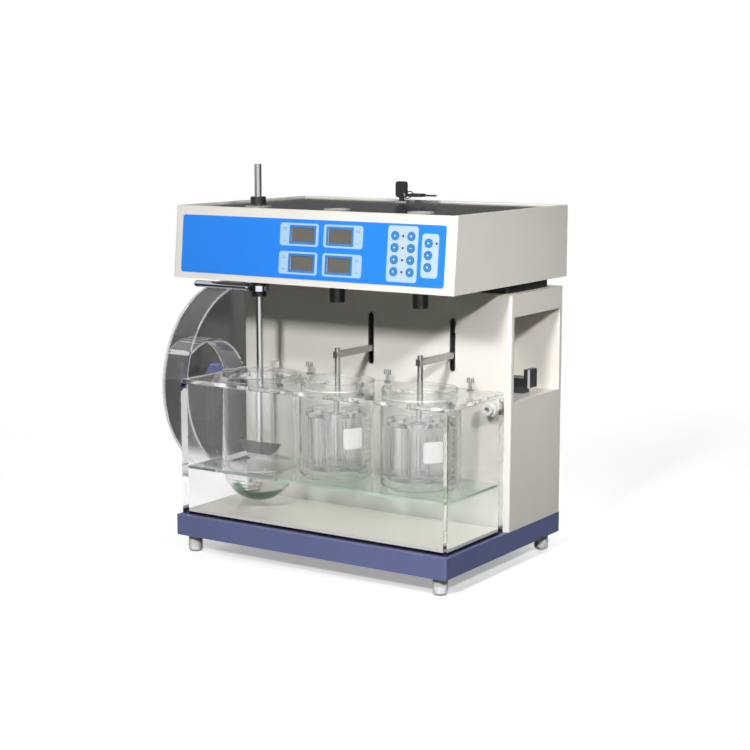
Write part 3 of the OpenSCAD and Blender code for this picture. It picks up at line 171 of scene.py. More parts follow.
@dataclass(frozen=True)
class Metal:
    """A bare metal whose tool marks are longer one way than the other.

    Marks gives the size of a mark along x, y and z. Below low_z, measured with the piece
    at rest, the metal has low_tint.
    """

    name: str
    tint: str
    shade: str
    rough: Point
    marks: Place
    relief: float
    low_tint: str = ""
    low_z: float = 0.0

    def make(self) -> bpy.types.Material:
        """Builds the node tree.

        Returns:
            The finished material.
        """
        material, tree, shader = blank_material(self.name)
        where = add_node(tree, "ShaderNodeTexCoord").outputs["Object"]
        drawn = add_node(tree, "ShaderNodeMapping", {"Scale": tuple(per_mm(s) for s in self.marks)},
                         {"Vector": where})
        lines = add_node(tree, "ShaderNodeTexNoise", {"Scale": 1.0, "Detail": 3.0},
                         {"Vector": drawn.outputs["Vector"]}).outputs["Fac"]
        tint = add_node(tree, "ShaderNodeMix",
                        {"data_type": "RGBA", 6: linear(self.tint), 7: linear(self.shade)}, {0: lines})
        if self.low_tint:
            height = add_node(tree, "ShaderNodeSeparateXYZ", {}, {0: where})
            low = add_node(tree, "ShaderNodeMath", {"operation": "LESS_THAN", 1: self.low_z * MM},
                           {0: height.outputs["Z"]})
            tint = add_node(tree, "ShaderNodeMix", {"data_type": "RGBA", 7: linear(self.low_tint)},
                            {0: low.outputs[0], 6: tint.outputs[2]})
        gloss = add_node(tree, "ShaderNodeMapRange", {"To Min": self.rough[0], "To Max": self.rough[1]},
                         {"Value": lines})
        bump = add_node(tree, "ShaderNodeBump", {"Strength": 1.0, "Distance": self.relief * MM},
                        {"Height": lines})
        shader.inputs["Metallic"].default_value = 1.0
        tree.links.new(tint.outputs[2], shader.inputs["Base Color"])
        tree.links.new(gloss.outputs["Result"], shader.inputs["Roughness"])
        tree.links.new(bump.outputs["Normal"], shader.inputs["Normal"])
        return material


@dataclass(frozen=True)
class Clear:
    """A see-through wall of glass or acrylic that lets the lamps' light in.

    Depth is the length after which the body has taken on its tint, wave the size of
    the slow ripple of its polished faces. After some bends or mirrorings of a ray the
    wall lets it straight on, so that edges stay bright. Below the heights of low_z and
    before the depths of low_y the tint changes to low_tint, a painted refraction of
    coloured light from nearby.
    """

    name: str
    tint: str
    ior: float
    rough: Point
    wave: float
    relief: float
    body: str = "#ffffff"
    depth: float = 0.0
    bends: float = 6.5
    echoes: float = 1.5
    low_tint: str = ""
    low_z: Point = (0.0, 1.0)
    low_y: Point = (0.0, 1.0)

    def make(self) -> bpy.types.Material:
        """Builds the node tree.

        Returns:
            The finished material.
        """
        material, tree, shader = blank_material(self.name)
        where = add_node(tree, "ShaderNodeTexCoord").outputs["Object"]
        ripple = add_node(tree, "ShaderNodeTexNoise", {"Scale": per_mm(self.wave), "Detail": 1.0},
                          {"Vector": where}).outputs["Fac"]
        gloss = add_node(tree, "ShaderNodeMapRange", {"To Min": self.rough[0], "To Max": self.rough[1]},
                         {"Value": ripple})
        bump = add_node(tree, "ShaderNodeBump", {"Strength": 1.0, "Distance": self.relief * MM},
                        {"Height": ripple})
        open_way = add_node(tree, "ShaderNodeBsdfTransparent", {"Color": linear(self.tint)})
        shader.inputs["Base Color"].default_value = linear(self.tint)
        # Painted refraction: below low_z and before low_y the wall takes low_tint
        if self.low_tint:
            height = add_node(tree, "ShaderNodeSeparateXYZ", {},
                              {0: add_node(tree, "ShaderNodeNewGeometry").outputs["Position"]})
            over, behind = (add_node(tree, "ShaderNodeMapRange",
                                     {"interpolation_type": "SMOOTHSTEP", "From Min": span[0] * MM,
                                      "From Max": span[1] * MM}, {"Value": height.outputs[axis]})
                            for span, axis in ((self.low_z, "Z"), (self.low_y, "Y")))
            away = add_node(tree, "ShaderNodeMath", {"operation": "MAXIMUM"},
                            {0: over.outputs["Result"], 1: behind.outputs["Result"]})
            tint = add_node(tree, "ShaderNodeMix",
                            {"data_type": "RGBA", 6: linear(self.low_tint), 7: linear(self.tint)},
                            {0: away.outputs[0]})
            tree.links.new(tint.outputs[2], shader.inputs["Base Color"])
            tree.links.new(tint.outputs[2], open_way.inputs["Color"])
        shader.inputs["IOR"].default_value = self.ior
        shader.inputs["Transmission Weight"].default_value = 1.0
        tree.links.new(gloss.outputs["Result"], shader.inputs["Roughness"])
        tree.links.new(bump.outputs["Normal"], shader.inputs["Normal"])
        path = add_node(tree, "ShaderNodeLightPath")
        matt = add_node(tree, "ShaderNodeMath", {"operation": "MAXIMUM"},
                        {0: path.outputs["Is Shadow Ray"], 1: path.outputs["Is Diffuse Ray"]})
        far = add_node(tree, "ShaderNodeMath", {"operation": "GREATER_THAN", 1: self.bends},
                       {0: path.outputs["Ray Depth"]})
        caught = add_node(tree, "ShaderNodeMath", {"operation": "GREATER_THAN", 1: self.echoes},
                          {0: path.outputs["Glossy Depth"]})
        late = add_node(tree, "ShaderNodeMath", {"operation": "MAXIMUM"},
                        {0: far.outputs[0], 1: caught.outputs[0]})
        lit = add_node(tree, "ShaderNodeMath", {"operation": "MAXIMUM"},
                       {0: matt.outputs[0], 1: late.outputs[0]})
        both = add_node(tree, "ShaderNodeMixShader", {},
                        {0: lit.outputs[0], 1: shader.outputs["BSDF"], 2: open_way.outputs["BSDF"]})
        output = tree.nodes["Material Output"]
        tree.links.new(both.outputs["Shader"], output.inputs["Surface"])
        if self.depth:
            soak = add_node(tree, "ShaderNodeVolumeAbsorption",
                            {"Color": linear(self.body), "Density": per_mm(self.depth)})
            tree.links.new(soak.outputs["Volume"], output.inputs["Volume"])
        return material


@dataclass(frozen=True)
class FacedCoating:
    """A plain coating with painted light: its faces toward one way get a second, lighter tint.

    Drift is how far the roughness strays. Limit is the least cosine between a face's
    normal and that way. Below foot_z the coating has foot_tint.
    """

    name: str
    tint: str
    face_tint: str
    facing: Place
    rough: float
    grain: float
    relief: float
    drift: float = 0.06
    limit: float = 0.7
    foot_tint: str = ""
    foot_z: float = 0.0

    def make(self) -> bpy.types.Material:
        """Builds the node tree.

        Returns:
            The finished material.
        """
        material, tree, shader = blank_material(self.name)
        where = add_node(tree, "ShaderNodeTexCoord")
        turn = add_node(tree, "ShaderNodeVectorMath", {"operation": "DOT_PRODUCT", 1: self.facing},
                        {0: where.outputs["Normal"]})
        lit_faces = add_node(tree, "ShaderNodeMath", {"operation": "GREATER_THAN", 1: self.limit},
                          {0: turn.outputs["Value"]})
        fine = add_node(tree, "ShaderNodeTexNoise", {"Scale": per_mm(self.grain), "Detail": 3.0},
                        {"Vector": where.outputs["Object"]}).outputs["Fac"]
        # Painted light: faces toward the given way take face_tint, which is lighter
        tint = add_node(tree, "ShaderNodeMix",
                        {"data_type": "RGBA", 6: linear(self.tint), 7: linear(self.face_tint)},
                        {0: lit_faces.outputs[0]})
        if self.foot_tint:
            height = add_node(tree, "ShaderNodeSeparateXYZ", {},
                              {0: add_node(tree, "ShaderNodeNewGeometry").outputs["Position"]})
            foot = add_node(tree, "ShaderNodeMath", {"operation": "LESS_THAN", 1: self.foot_z * MM},
                            {0: height.outputs["Z"]})
            tint = add_node(tree, "ShaderNodeMix", {"data_type": "RGBA", 7: linear(self.foot_tint)},
                            {0: foot.outputs[0], 6: tint.outputs[2]})
        gloss = add_node(tree, "ShaderNodeMapRange",
                         {"To Min": self.rough - self.drift, "To Max": self.rough + self.drift},
                         {"Value": fine})
        bump = add_node(tree, "ShaderNodeBump", {"Strength": 1.0, "Distance": self.relief * MM},
                        {"Height": fine})
        tree.links.new(tint.outputs[2], shader.inputs["Base Color"])
        tree.links.new(gloss.outputs["Result"], shader.inputs["Roughness"])
        tree.links.new(bump.outputs["Normal"], shader.inputs["Normal"])
        return material


Finish = Union[Coating, Metal, Clear, FacedCoating]


@lru_cache(maxsize=None)
def material_of(finish: Finish) -> bpy.types.Material:
    """The finish's material, made the first time it is asked for."""
    return finish.make()


# Sheet steel with sprayed and baked powder: an even satin with a faint orange peel
CREAM_POWDER = Coating("cream_powder_coat", "#f0ece5", "#e9e4db", (0.36, 0.46), 70.0, 1.4, 0.012)
# Sheet steel with a fine textured paint: blue grey and a little duller
SLATE_PAINT = Coating("slate_textured_paint", "#6b74a0", "#626b94", (0.42, 0.54), 45.0, 1.0, 0.02)
# Moulded milky nylon: white with a soft sheen
MILKY_NYLON = Coating("moulded_milky_nylon", "#f6f6f5", "#ecedec", (0.3, 0.42), 8.0, 1.5, 0.02, coat=0.2)
# Turned stainless steel: fine rings round the shaft, clear streaks of light
TURNED_STEEL = Metal("turned_stainless_steel", "#c9ccd0", "#b3b6ba", (0.14, 0.26), (60.0, 60.0, 0.5),
                     0.002)
# Rolled stainless flat bar: lines along its length
DRAWN_STEEL = Metal("drawn_stainless_bar", "#b8b8b4", "#9a9a96", (0.2, 0.36), (0.7, 40.0, 0.7), 0.004)
# Ground stainless stirrer: bright and dark streaks along the shaft, a dull blade
GROUND_STEEL = Metal("ground_stainless_steel", "#c6c8ca", "#a3a5a8", (0.14, 0.24), (0.9, 0.9, 60.0), 0.003,
                     low_tint="#5c5d60", low_z=160.2)
# Chrome plate on a turned bar: almost a mirror
CHROME = Metal("chrome_plate", "#c4c7d2", "#b4b7c4", (0.05, 0.1), (30.0, 4.0, 4.0), 0.001)
# Blackened steel: dark, with a soft sheen
BLACK_STEEL = Coating("blackened_steel", "#1d1e21", "#27292d", (0.28, 0.4), 12.0, 0.8, 0.006)
# Moulded black ABS with a fine spark texture
BLACK_ABS = Coating("moulded_black_abs", "#161617", "#1f1f21", (0.38, 0.5), 20.0, 0.7, 0.02)
# Polished dark acrylic sheet: deep and glossy, with faint wiping marks
DARK_ACRYLIC = Coating("polished_dark_acrylic", "#353434", "#3b3a39", (0.07, 0.14), 60.0, 25.0, 0.004)
# Moulded white ABS for the fittings
WHITE_ABS = Coating("moulded_white_abs", "#f3f3f0", "#e6e6e2", (0.3, 0.4), 15.0, 0.9, 0.01)
# Moulded grey ABS for the rings in the lid
GREY_ABS = Coating("moulded_grey_abs", "#b3b1ac", "#a8a6a1", (0.3, 0.4), 15.0, 0.9, 0.01)
# Printed polycarbonate film: strong blue under a fine velvet surface
BLUE_FILM = Coating("printed_polycarbonate_film", "#1985f2", "#2189f6", (0.3, 0.38), 90.0, 0.8, 0.006)
# Pale inks printed on the film
PALE_INK = Coating("pale_blue_screen_ink", "#a9cdf0", "#b0d3f4", (0.32, 0.4), 25.0, 0.8, 0.004)
FIELD_INK = Coating("grey_blue_screen_ink", "#b9cfe2", "#c0d4e4", (0.32, 0.4), 25.0, 0.8, 0.004)
# Deep blue painted shade round each display's sunk window, laid on the film like an ink
RECESS_SHADE_INK = Coating("painted_recess_shade_blue", "#2f79c9", "#3a86d6", (0.32, 0.4), 25.0, 0.8, 0.004)
# White and grey inks printed on the film
MARK_INK = Coating("white_screen_ink", "#eef6ff", "#e4effb", (0.34, 0.42), 12.0, 0.6, 0.003)
GREY_INK = Coating("grey_screen_ink", "#8fa5bd", "#98adc3", (0.34, 0.42), 12.0, 0.6, 0.003)
# Moulded key caps, glossy and slightly domed
KEY_PLASTIC = Coating("moulded_blue_key", "#2f86d4", "#2a7ecb", (0.22, 0.3), 9.0, 0.8, 0.004, coat=0.3)
# Liquid crystal glass with no segment lit: grey olive under a clear window
LCD_GLASS = Coating("liquid_crystal_glass", "#5f5b50", "#57544a", (0.1, 0.16), 14.0, 3.0, 0.001, coat=0.6)
# Cast red epoxy lens, dark while unlit
LENS_RED = Coating("cast_red_epoxy", "#6d1a1c", "#591416", (0.1, 0.16), 2.0, 1.0, 0.002, coat=0.5)
# Cast acrylic sheet, cut and polished: clear faces, bright edges
ACRYLIC = Clear("polished_clear_acrylic", "#fefefe", 1.49, (0.0, 0.03), 80.0, 0.02)
# The drum's thicker acrylic: its rims look dark where light runs along them
DRUM_ACRYLIC = Clear("turned_drum_acrylic", "#fdfdfd", 1.49, (0.0, 0.03), 60.0, 0.01, body="#5f666c",
                     depth=45.0)
# Blown borosilicate: clear, with a slow ripple, and grey lines where light runs along the wall
BOROSILICATE = Clear("blown_borosilicate_glass", "#fefefe", 1.47, (0.0, 0.02), 26.0, 0.05, body="#6f7575",
                     depth=24.0, bends=8.5)
# The round vessel: the same glass, with a painted green refraction of the shelf low on the front of its bowl
VESSEL_GLASS = Clear("blown_vessel_glass_with_painted_refraction", "#fefefe", 1.47, (0.0, 0.02), 26.0, 0.05, body="#6f7575",
                     depth=30.0, bends=8.5, low_tint="#2a8259", low_z=(92.0, 97.0), low_y=(-88.0, -80.0))
# Moulded basket plates and drawn tubes: clear faces, soft grey edges
BASKET_ACRYLIC = Clear("moulded_basket_acrylic", "#fcfcfc", 1.49, (0.0, 0.03), 40.0, 0.01, body="#565b5e",
                       depth=60.0, bends=8.5)
BASKET_GLASS = Clear("drawn_tube_glass", "#ffffff", 1.47, (0.0, 0.02), 30.0, 0.01, body="#6f7575",
                     depth=34.0, bends=8.5)
# Turned acrylic posts: small, with dark edges
POST_ACRYLIC = Clear("turned_post_acrylic", "#e4e6e7", 1.49, (0.02, 0.08), 12.0, 0.02, body="#34383b",
                     depth=9.0, bends=8.5)
# Float glass shelf: its edge and depth look green
FLOAT_GLASS = Clear("float_glass", "#f8fcfa", 1.52, (0.0, 0.02), 120.0, 0.01, body="#8fd0ae", depth=40.0)
# Pale polished floor of the tank: its sides are painted a greyer shade than its top, and it is black below 59.2 mm,
# a thin dark line along its foot
CREAM_SHEET = FacedCoating("pale_sheet_with_painted_shade_on_sides", "#dad8d6", "#efeae0", (0.0, 0.0, 1.0), 0.12, 2.0,
                           0.002, foot_tint="#08080c", foot_z=59.2)
# Moulded blue hand nut
BLUE_KNOB = Coating("moulded_blue_knob", "#2f4fc6", "#2846b4", (0.2, 0.3), 10.0, 1.2, 0.008, coat=0.2)
# Dark paint on the hardness drive; the jaw's bevel facing front and right is painted light grey, a painted
# highlight
JAW_PAINT = FacedCoating("dark_grey_enamel_with_painted_highlight", "#36363b", "#c9c8d2", (0.707, -0.707, 0.0),
                         0.36, 0.9, 0.008, limit=0.95)
DARK_ENAMEL = Coating("dark_grey_enamel", "#4a4c50", "#424448", (0.32, 0.44), 20.0, 0.9, 0.008)
# Machined aluminium
ALUMINIUM = Metal("machined_aluminium", "#b9bcbf", "#a4a7aa", (0.24, 0.36), (30.0, 0.6, 0.6), 0.004)
# Grey cast motor case and rubber belt
MOTOR_GREY = Coating("grey_motor_enamel", "#6d7072", "#626567", (0.4, 0.5), 12.0, 0.9, 0.015)
BELT_RUBBER = Coating("moulded_belt_rubber", "#1b1b1b", "#242424", (0.6, 0.72), 10.0, 0.8, 0.02)


def dress(finish: Finish, *nodes: str) -> None:
    """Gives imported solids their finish.

    Args:
        finish: finish they get.
        nodes: names of the solids.
    """
    for node in nodes:
        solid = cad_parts[node]
        solid.data.materials.clear()
        solid.data.materials.append(material_of(finish))
        LOG.info("dressed %s in %s", node, finish.name)


def add_piece(name: str, mesh: bpy.types.Mesh, finish: Finish, body: str) -> None:
    """Puts a new piece in the scene on its body.

    Args:
        name: piece's name.
        mesh: mesh in the row frame, in metres.
        finish: finish it gets.
        body: body it moves with.
    """
    mesh.name = name
    mesh.materials.clear()
    mesh.materials.append(material_of(finish))
    piece = bpy.data.objects.new(name, mesh)
    bpy.context.scene.collection.objects.link(piece)
    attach(piece, body)
    LOG.info("added %s on %s: %d faces", name, body, len(mesh.polygons))


def rounded(x0: float, y0: float, x1: float, y1: float, radius: float, steps: int = 6) -> Outline:
    """Outline of a rectangle with rounded corners.

    Args:
        x0: left edge.
        y0: lower edge.
        x1: right edge.
        y1: upper edge.
        radius: corner radius.
        steps: chords in each corner.

    Returns:
        Points of the outline, anticlockwise.
    """
    line: Outline = []
    for turn, (cx, cy) in enumerate(((x1, y1), (x0, y1), (x0, y0), (x1, y0))):
        mx = cx + math.copysign(radius, (x0 + x1) / 2 - cx)
        my = cy + math.copysign(radius, (y0 + y1) / 2 - cy)
        for i in range(steps + 1):
            a = math.radians(90 * (turn + i / steps))
            line.append((mx + radius * math.cos(a), my + radius * math.sin(a)))
    return line


def ring(x: float, y: float, radius: float, steps: int = 32) -> Outline:
    """Outline of a circle."""
    return [(x + radius * math.cos(math.tau * i / steps), y + radius * math.sin(math.tau * i / steps))
            for i in range(steps)]


def sheet_mesh(name: str, outlines: Sequence[Outline], thickness: float) -> bpy.types.Mesh:
    """Cuts a flat sheet; an outline inside another is a hole.

    Args:
        name: name for the mesh.
        outlines: outlines in millimetres.
        thickness: sheet's thickness; it rises from zero.

    Returns:
        A closed mesh in metres, flat in its x and y.
    """
    curve = bpy.data.curves.new(name, "CURVE")
    curve.dimensions = "2D"
    curve.fill_mode = "BOTH"
    curve.extrude = thickness / 2
    for line in outlines:
        spline = curve.splines.new("POLY")
        spline.points.add(len(line) - 1)
        for point, (u, v) in zip(spline.points, line):
            point.co = (u, v, 0.0, 1.0)
        spline.use_cyclic_u = True
    holder = bpy.data.objects.new(name, curve)
    bpy.context.scene.collection.objects.link(holder)
    bpy.context.view_layer.update()
    ready = holder.evaluated_get(bpy.context.evaluated_depsgraph_get())
    mesh = bpy.data.meshes.new_from_object(ready)
    bpy.data.objects.remove(holder)
    bpy.data.curves.remove(curve)
    work = bmesh.new()
    work.from_mesh(mesh)
    bmesh.ops.remove_doubles(work, verts=work.verts, dist=thickness / 50)
    bmesh.ops.recalc_face_normals(work, faces=work.faces)
    work.to_mesh(mesh)
    work.free()
    mesh.transform(Matrix.Scale(MM, 4) @ Matrix.Translation((0.0, 0.0, thickness / 2)))
    return mesh


def join_meshes(name: str, meshes: Sequence[bpy.types.Mesh]) -> bpy.types.Mesh:
    """Puts several meshes into one.

    Args:
        name: name of the joined mesh.
        meshes: meshes that are used up.

    Returns:
        The joined mesh.
    """
    work = bmesh.new()
    for mesh in meshes:
        work.from_mesh(mesh)
        bpy.data.meshes.remove(mesh)
    joined = bpy.data.meshes.new(name)
    work.to_mesh(joined)
    work.free()
    return joined


def wrap_round(mesh: bpy.types.Mesh, centre: Vector, radius: float, heading: float,
               step: float = 2.0) -> None:
    """Bends a flat sheet round an upright cylinder.

    Args:
        mesh: sheet from sheet_mesh; x runs round the cylinder, y up, z outward.
        centre: point of the cylinder's axis at the sheet's y of zero.
        radius: cylinder's radius.
        heading: where the sheet's x of zero faces, in degrees from the front to the right.
        step: length of one chord.
    """
    work = bmesh.new()
    work.from_mesh(mesh)
    low = min(v.co.x for v in work.verts)
    high = max(v.co.x for v in work.verts)
    cuts = int((high - low) / (step * MM))
    for i in range(1, cuts + 1):
        bmesh.ops.bisect_plane(work, geom=[*work.verts, *work.edges, *work.faces], dist=1e-8,
                               plane_co=(low + (high - low) * i / (cuts + 1), 0, 0), plane_no=(1, 0, 0))
    for v in work.verts:
        a = math.radians(heading) + v.co.x / (radius * MM)
        r = radius * MM + v.co.z
        v.co = centre + Vector((r * math.sin(a), -r * math.cos(a), v.co.y))
    work.to_mesh(mesh)
    work.free()


def lathe_mesh(name: str, profile: Sequence[Point], steps: int = 24) -> bpy.types.Mesh:
    """Turns a profile about the z axis.

    Args:
        name: name of the mesh.
        profile: radius and height pairs from the axis back to the axis.
        steps: chords in a turn.

    Returns:
        A closed mesh in metres.
    """
    work = bmesh.new()
    rows: list[list[bmesh.types.BMVert]] = []
    for radius, height in profile:
        count = steps if radius > 1e-6 else 1
        rows.append([work.verts.new((radius * MM * math.cos(math.tau * i / steps),
                                     radius * MM * math.sin(math.tau * i / steps), height * MM))
                     for i in range(count)])
    for low, high in zip(rows, rows[1:]):
        for i in range(steps):
            j = (i + 1) % steps
            corners = [low[i % len(low)], low[j % len(low)], high[j % len(high)], high[i % len(high)]]
            work.faces.new(list(dict.fromkeys(corners)))
    bmesh.ops.recalc_face_normals(work, faces=work.faces)
    mesh = bpy.data.meshes.new(name)
    work.to_mesh(mesh)
    work.free()
    for polygon in mesh.polygons:
        polygon.use_smooth = True
    return mesh


class Mark(Enum):
    """Plain signs printed on the keys, as outlines about the key's middle."""

    UP = ((-2.7, -1.5), (2.7, -1.5), (0.0, 2.0))
    DOWN = ((-2.7, 1.5), (0.0, -2.0), (2.7, 1.5))
    START = ((-1.7, -2.3), (2.5, 0.0), (-1.7, 2.3))
    STOP = ((-1.8, -1.8), (1.8, -1.8), (1.8, 1.8), (-1.8, 1.8))
    MINUS = ((-2.6, -0.6), (2.6, -0.6), (2.6, 0.6), (-2.6, 0.6))
    PLUS = ((-0.6, -2.6), (0.6, -2.6), (0.6, -0.6), (2.6, -0.6), (2.6, 0.6), (0.6, 0.6),
            (0.6, 2.6), (-0.6, 2.6), (-0.6, 0.6), (-2.6, 0.6), (-2.6, -0.6), (-0.6, -0.6))
    CHOICE = ((-2.7, 0.0), (0.0, -2.0), (2.7, 0.0), (0.0, 2.0))


@dataclass(frozen=True)
class Softbox:
    """A square lamp. A quiet one lights matt faces only and shows in nothing."""

    name: str
    place_m: Place
    aim_m: Place
    side_m: float
    watts: float
    spread: float = 180.0
    quiet: bool = False

    def hang(self) -> None:
        """Puts the lamp in the scene."""
        data = bpy.data.lights.new(self.name, "AREA")
        data.shape = "SQUARE"
        data.size = self.side_m
        data.energy = self.watts
        data.spread = math.radians(self.spread)
        lamp = bpy.data.objects.new(self.name, data)
        lamp.location = self.place_m
        lamp.rotation_euler = look_at(self.place_m, self.aim_m)
        lamp.visible_camera = lamp.visible_glossy = lamp.visible_transmission = not self.quiet
        bpy.context.scene.collection.objects.link(lamp)
        LOG.info("hung %s", self.name)


@dataclass
class Studio:
    """Floor, lamps, surroundings and camera.

    A pair of numbers says where a change starts and ends: floor_fade_m is a distance from
    the part, front_span the cosine to front_way, floor_back_m a depth on the floor,
    mirror_back and room_back how far a ray heads to the back.
    """

    eye_m: Place = (1.3741, -2.01595, 0.6383)
    target_m: Place = (0.0342, 0.02025, 0.2550)
    lens: float = 81.1
    sensor: float = 36.0
    clip_m: Point = (0.05, 60.0)
    bounces: int = 24
    echoes: float = 1.5
    floor_half_m: float = 12.0
    floor_tint: str = "#f5f5f4"
    floor_dull_tint: str = "#3c3c3b"
    floor_rough: float = 0.8
    floor_fade_m: Point = (0.55, 1.6)
    floor_glow: float = 0.35
    floor_return: float = 0.02
    floor_back_m: Point = (0.3, 0.44)
    front_way: Place = (0.55, -0.84, 0.0)
    front_span: Point = (0.7, 0.93)
    front_mirror: float = 1.6
    ambient_left: float = 0.06
    ambient_right: float = 0.03
    mirror_back: Point = (-0.1, 0.7)
    back_mirror: float = 0.12
    room_back: Point = (0.4, 0.66)
    backdrop: float = 0.012

    def build(self) -> None:
        """Makes the whole studio."""
        self.floor()
        self.surroundings()
        for lamp in self.lamps():
            lamp.hang()
        self.camera()
        self.light_paths()
        bpy.context.scene.view_settings.view_transform = "Standard"

    def lamps(self) -> tuple[Softbox, ...]:
        """The lamps: a hard one in front, a beam from the side, soft ones above and behind."""
        return (Softbox("front_softbox", (0.54, -2.08, 1.38), self.target_m, 0.25, 39.0),
                Softbox("side_lamp", (1.5, -1.1, 1.22), (0.33, 0.05, 0.3), 0.15, 2.2, 50.0),
                Softbox("top_softbox", (-0.3, -0.3, 2.6), self.target_m, 1.4, 6.0),
                Softbox("rear_softbox", (-1.5, 2.1, 0.55), (0.0, 0.1, 0.3), 1.0, 34.0, 120.0, quiet=True))

    def light_paths(self) -> None:
        """Lets light pass the many clear walls that stand behind each other."""
        paths = bpy.context.scene.cycles
        paths.max_bounces = self.bounces
        paths.transmission_bounces = self.bounces
        paths.transparent_max_bounces = 4 * self.bounces

    def floor(self) -> None:
        """Lays a pale floor that fades into the white surroundings.

        Matt faces get little of its light back, mirroring ones see it bright in front.
        """
        half = self.floor_half_m
        mesh = bpy.data.meshes.new("studio_floor")
        mesh.from_pydata([(-half, -half, 0), (half, -half, 0), (half, half, 0), (-half, half, 0)], [],
                         [(0, 1, 2, 3)])
        floor = bpy.data.objects.new("studio_floor", mesh)
        bpy.context.scene.collection.objects.link(floor)
        material, tree, shader = blank_material("pale_paper_floor")
        where = add_node(tree, "ShaderNodeTexCoord").outputs["Object"]
        away = add_node(tree, "ShaderNodeVectorMath", {"operation": "LENGTH"}, {0: where})
        fade = add_node(tree, "ShaderNodeMapRange",
                        {"interpolation_type": "SMOOTHSTEP", "From Min": self.floor_fade_m[0],
                         "From Max": self.floor_fade_m[1]}, {"Value": away.outputs["Value"]})
        seen = self.straight_sight(tree)
        glow = add_node(tree, "ShaderNodeMath", {"operation": "MULTIPLY", 1: self.floor_glow},
                        {0: seen.outputs[0]})
        shown = add_node(tree, "ShaderNodeMapRange", {"To Min": self.floor_return, "To Max": 1.0},
                         {"Value": seen.outputs[0]})
        paper = add_node(tree, "ShaderNodeMix",
                         {"data_type": "RGBA", 6: linear(self.floor_dull_tint), 7: linear(self.floor_tint)},
                         {0: seen.outputs[0]})
        tree.links.new(paper.outputs[2], shader.inputs["Base Color"])
        shader.inputs["Roughness"].default_value = self.floor_rough
        shader.inputs["Emission Color"].default_value = WHITE
        tree.links.new(glow.outputs[0], shader.inputs["Emission Strength"])
        path = add_node(tree, "ShaderNodeLightPath")
        way = add_node(tree, "ShaderNodeVectorMath", {"operation": "NORMALIZE"}, {0: where})
        ahead = add_node(tree, "ShaderNodeVectorMath", {"operation": "DOT_PRODUCT", 1: self.front_way},
                         {0: way.outputs[0]})
        front = add_node(tree, "ShaderNodeMapRange",
                         {"interpolation_type": "SMOOTHSTEP", "From Min": self.front_span[0],
                          "From Max": self.front_span[1], "To Max": self.front_mirror},
                         {"Value": ahead.outputs["Value"]})
        sheen = add_node(tree, "ShaderNodeMath", {"operation": "MULTIPLY_ADD"},
                         {0: front.outputs["Result"], 1: path.outputs["Is Glossy Ray"],
                          2: shown.outputs["Result"]})
        depth = add_node(tree, "ShaderNodeSeparateXYZ", {}, {0: where})
        dim = self.dark_back(tree, depth.outputs["Y"], self.floor_back_m)
        white = add_node(tree, "ShaderNodeEmission", {"Color": WHITE}, {"Strength": sheen.outputs[0]})
        both = add_node(tree, "ShaderNodeMixShader", {},
                        {0: fade.outputs["Result"], 1: shader.outputs["BSDF"], 2: white.outputs["Emission"]})
        dimmed = add_node(tree, "ShaderNodeMixShader", {}, {0: dim.outputs[0], 2: both.outputs["Shader"]})
        tree.links.new(dimmed.outputs["Shader"], tree.nodes["Material Output"].inputs["Surface"])
        mesh.materials.append(material)

    def straight_sight(self, tree: bpy.types.NodeTree) -> bpy.types.Node:
        """Tells rays that look straight on or through clear walls from the others.

        Args:
            tree: node tree that gets the nodes.

        Returns:
            A node whose value is 1 for such rays.
        """
        path = add_node(tree, "ShaderNodeLightPath")
        within = add_node(tree, "ShaderNodeMath", {"operation": "MINIMUM"},
                          {0: path.outputs["Is Glossy Ray"], 1: path.outputs["Transmission Depth"]})
        through = add_node(tree, "ShaderNodeMath", {"operation": "MAXIMUM"},
                           {0: path.outputs["Is Transmission Ray"], 1: within.outputs[0]})
        return add_node(tree, "ShaderNodeMath", {"operation": "MAXIMUM"},
                        {0: path.outputs["Is Camera Ray"], 1: through.outputs[0]})

    def dark_back(self, tree: bpy.types.NodeTree, depth: bpy.types.NodeSocket, span: Point) -> bpy.types.Node:
        """Darkens the studio's back for rays that have come through a clear wall.

        Args:
            tree: node tree that gets the nodes.
            depth: socket that says how far back a ray goes.
            span: depths where the darkening starts and ends.

        Returns:
            A node whose value is the backdrop's level for such rays and 1 for others.
        """
        path = add_node(tree, "ShaderNodeLightPath")
        back = add_node(tree, "ShaderNodeMapRange",
                        {"interpolation_type": "SMOOTHSTEP", "From Min": span[0], "From Max": span[1],
                         "To Min": 1.0, "To Max": self.backdrop}, {"Value": depth})
        past = add_node(tree, "ShaderNodeMath", {"operation": "MINIMUM", 1: 1.0},
                        {0: path.outputs["Transmission Depth"]})
        plain = add_node(tree, "ShaderNodeMath", {"operation": "LESS_THAN", 1: self.echoes},
                         {0: path.outputs["Glossy Depth"]})
        calm = add_node(tree, "ShaderNodeMath", {"operation": "MULTIPLY"},
                        {0: past.outputs[0], 1: plain.outputs[0]})
        return add_node(tree, "ShaderNodeMix", {2: 1.0}, {0: calm.outputs[0], 3: back.outputs["Result"]})

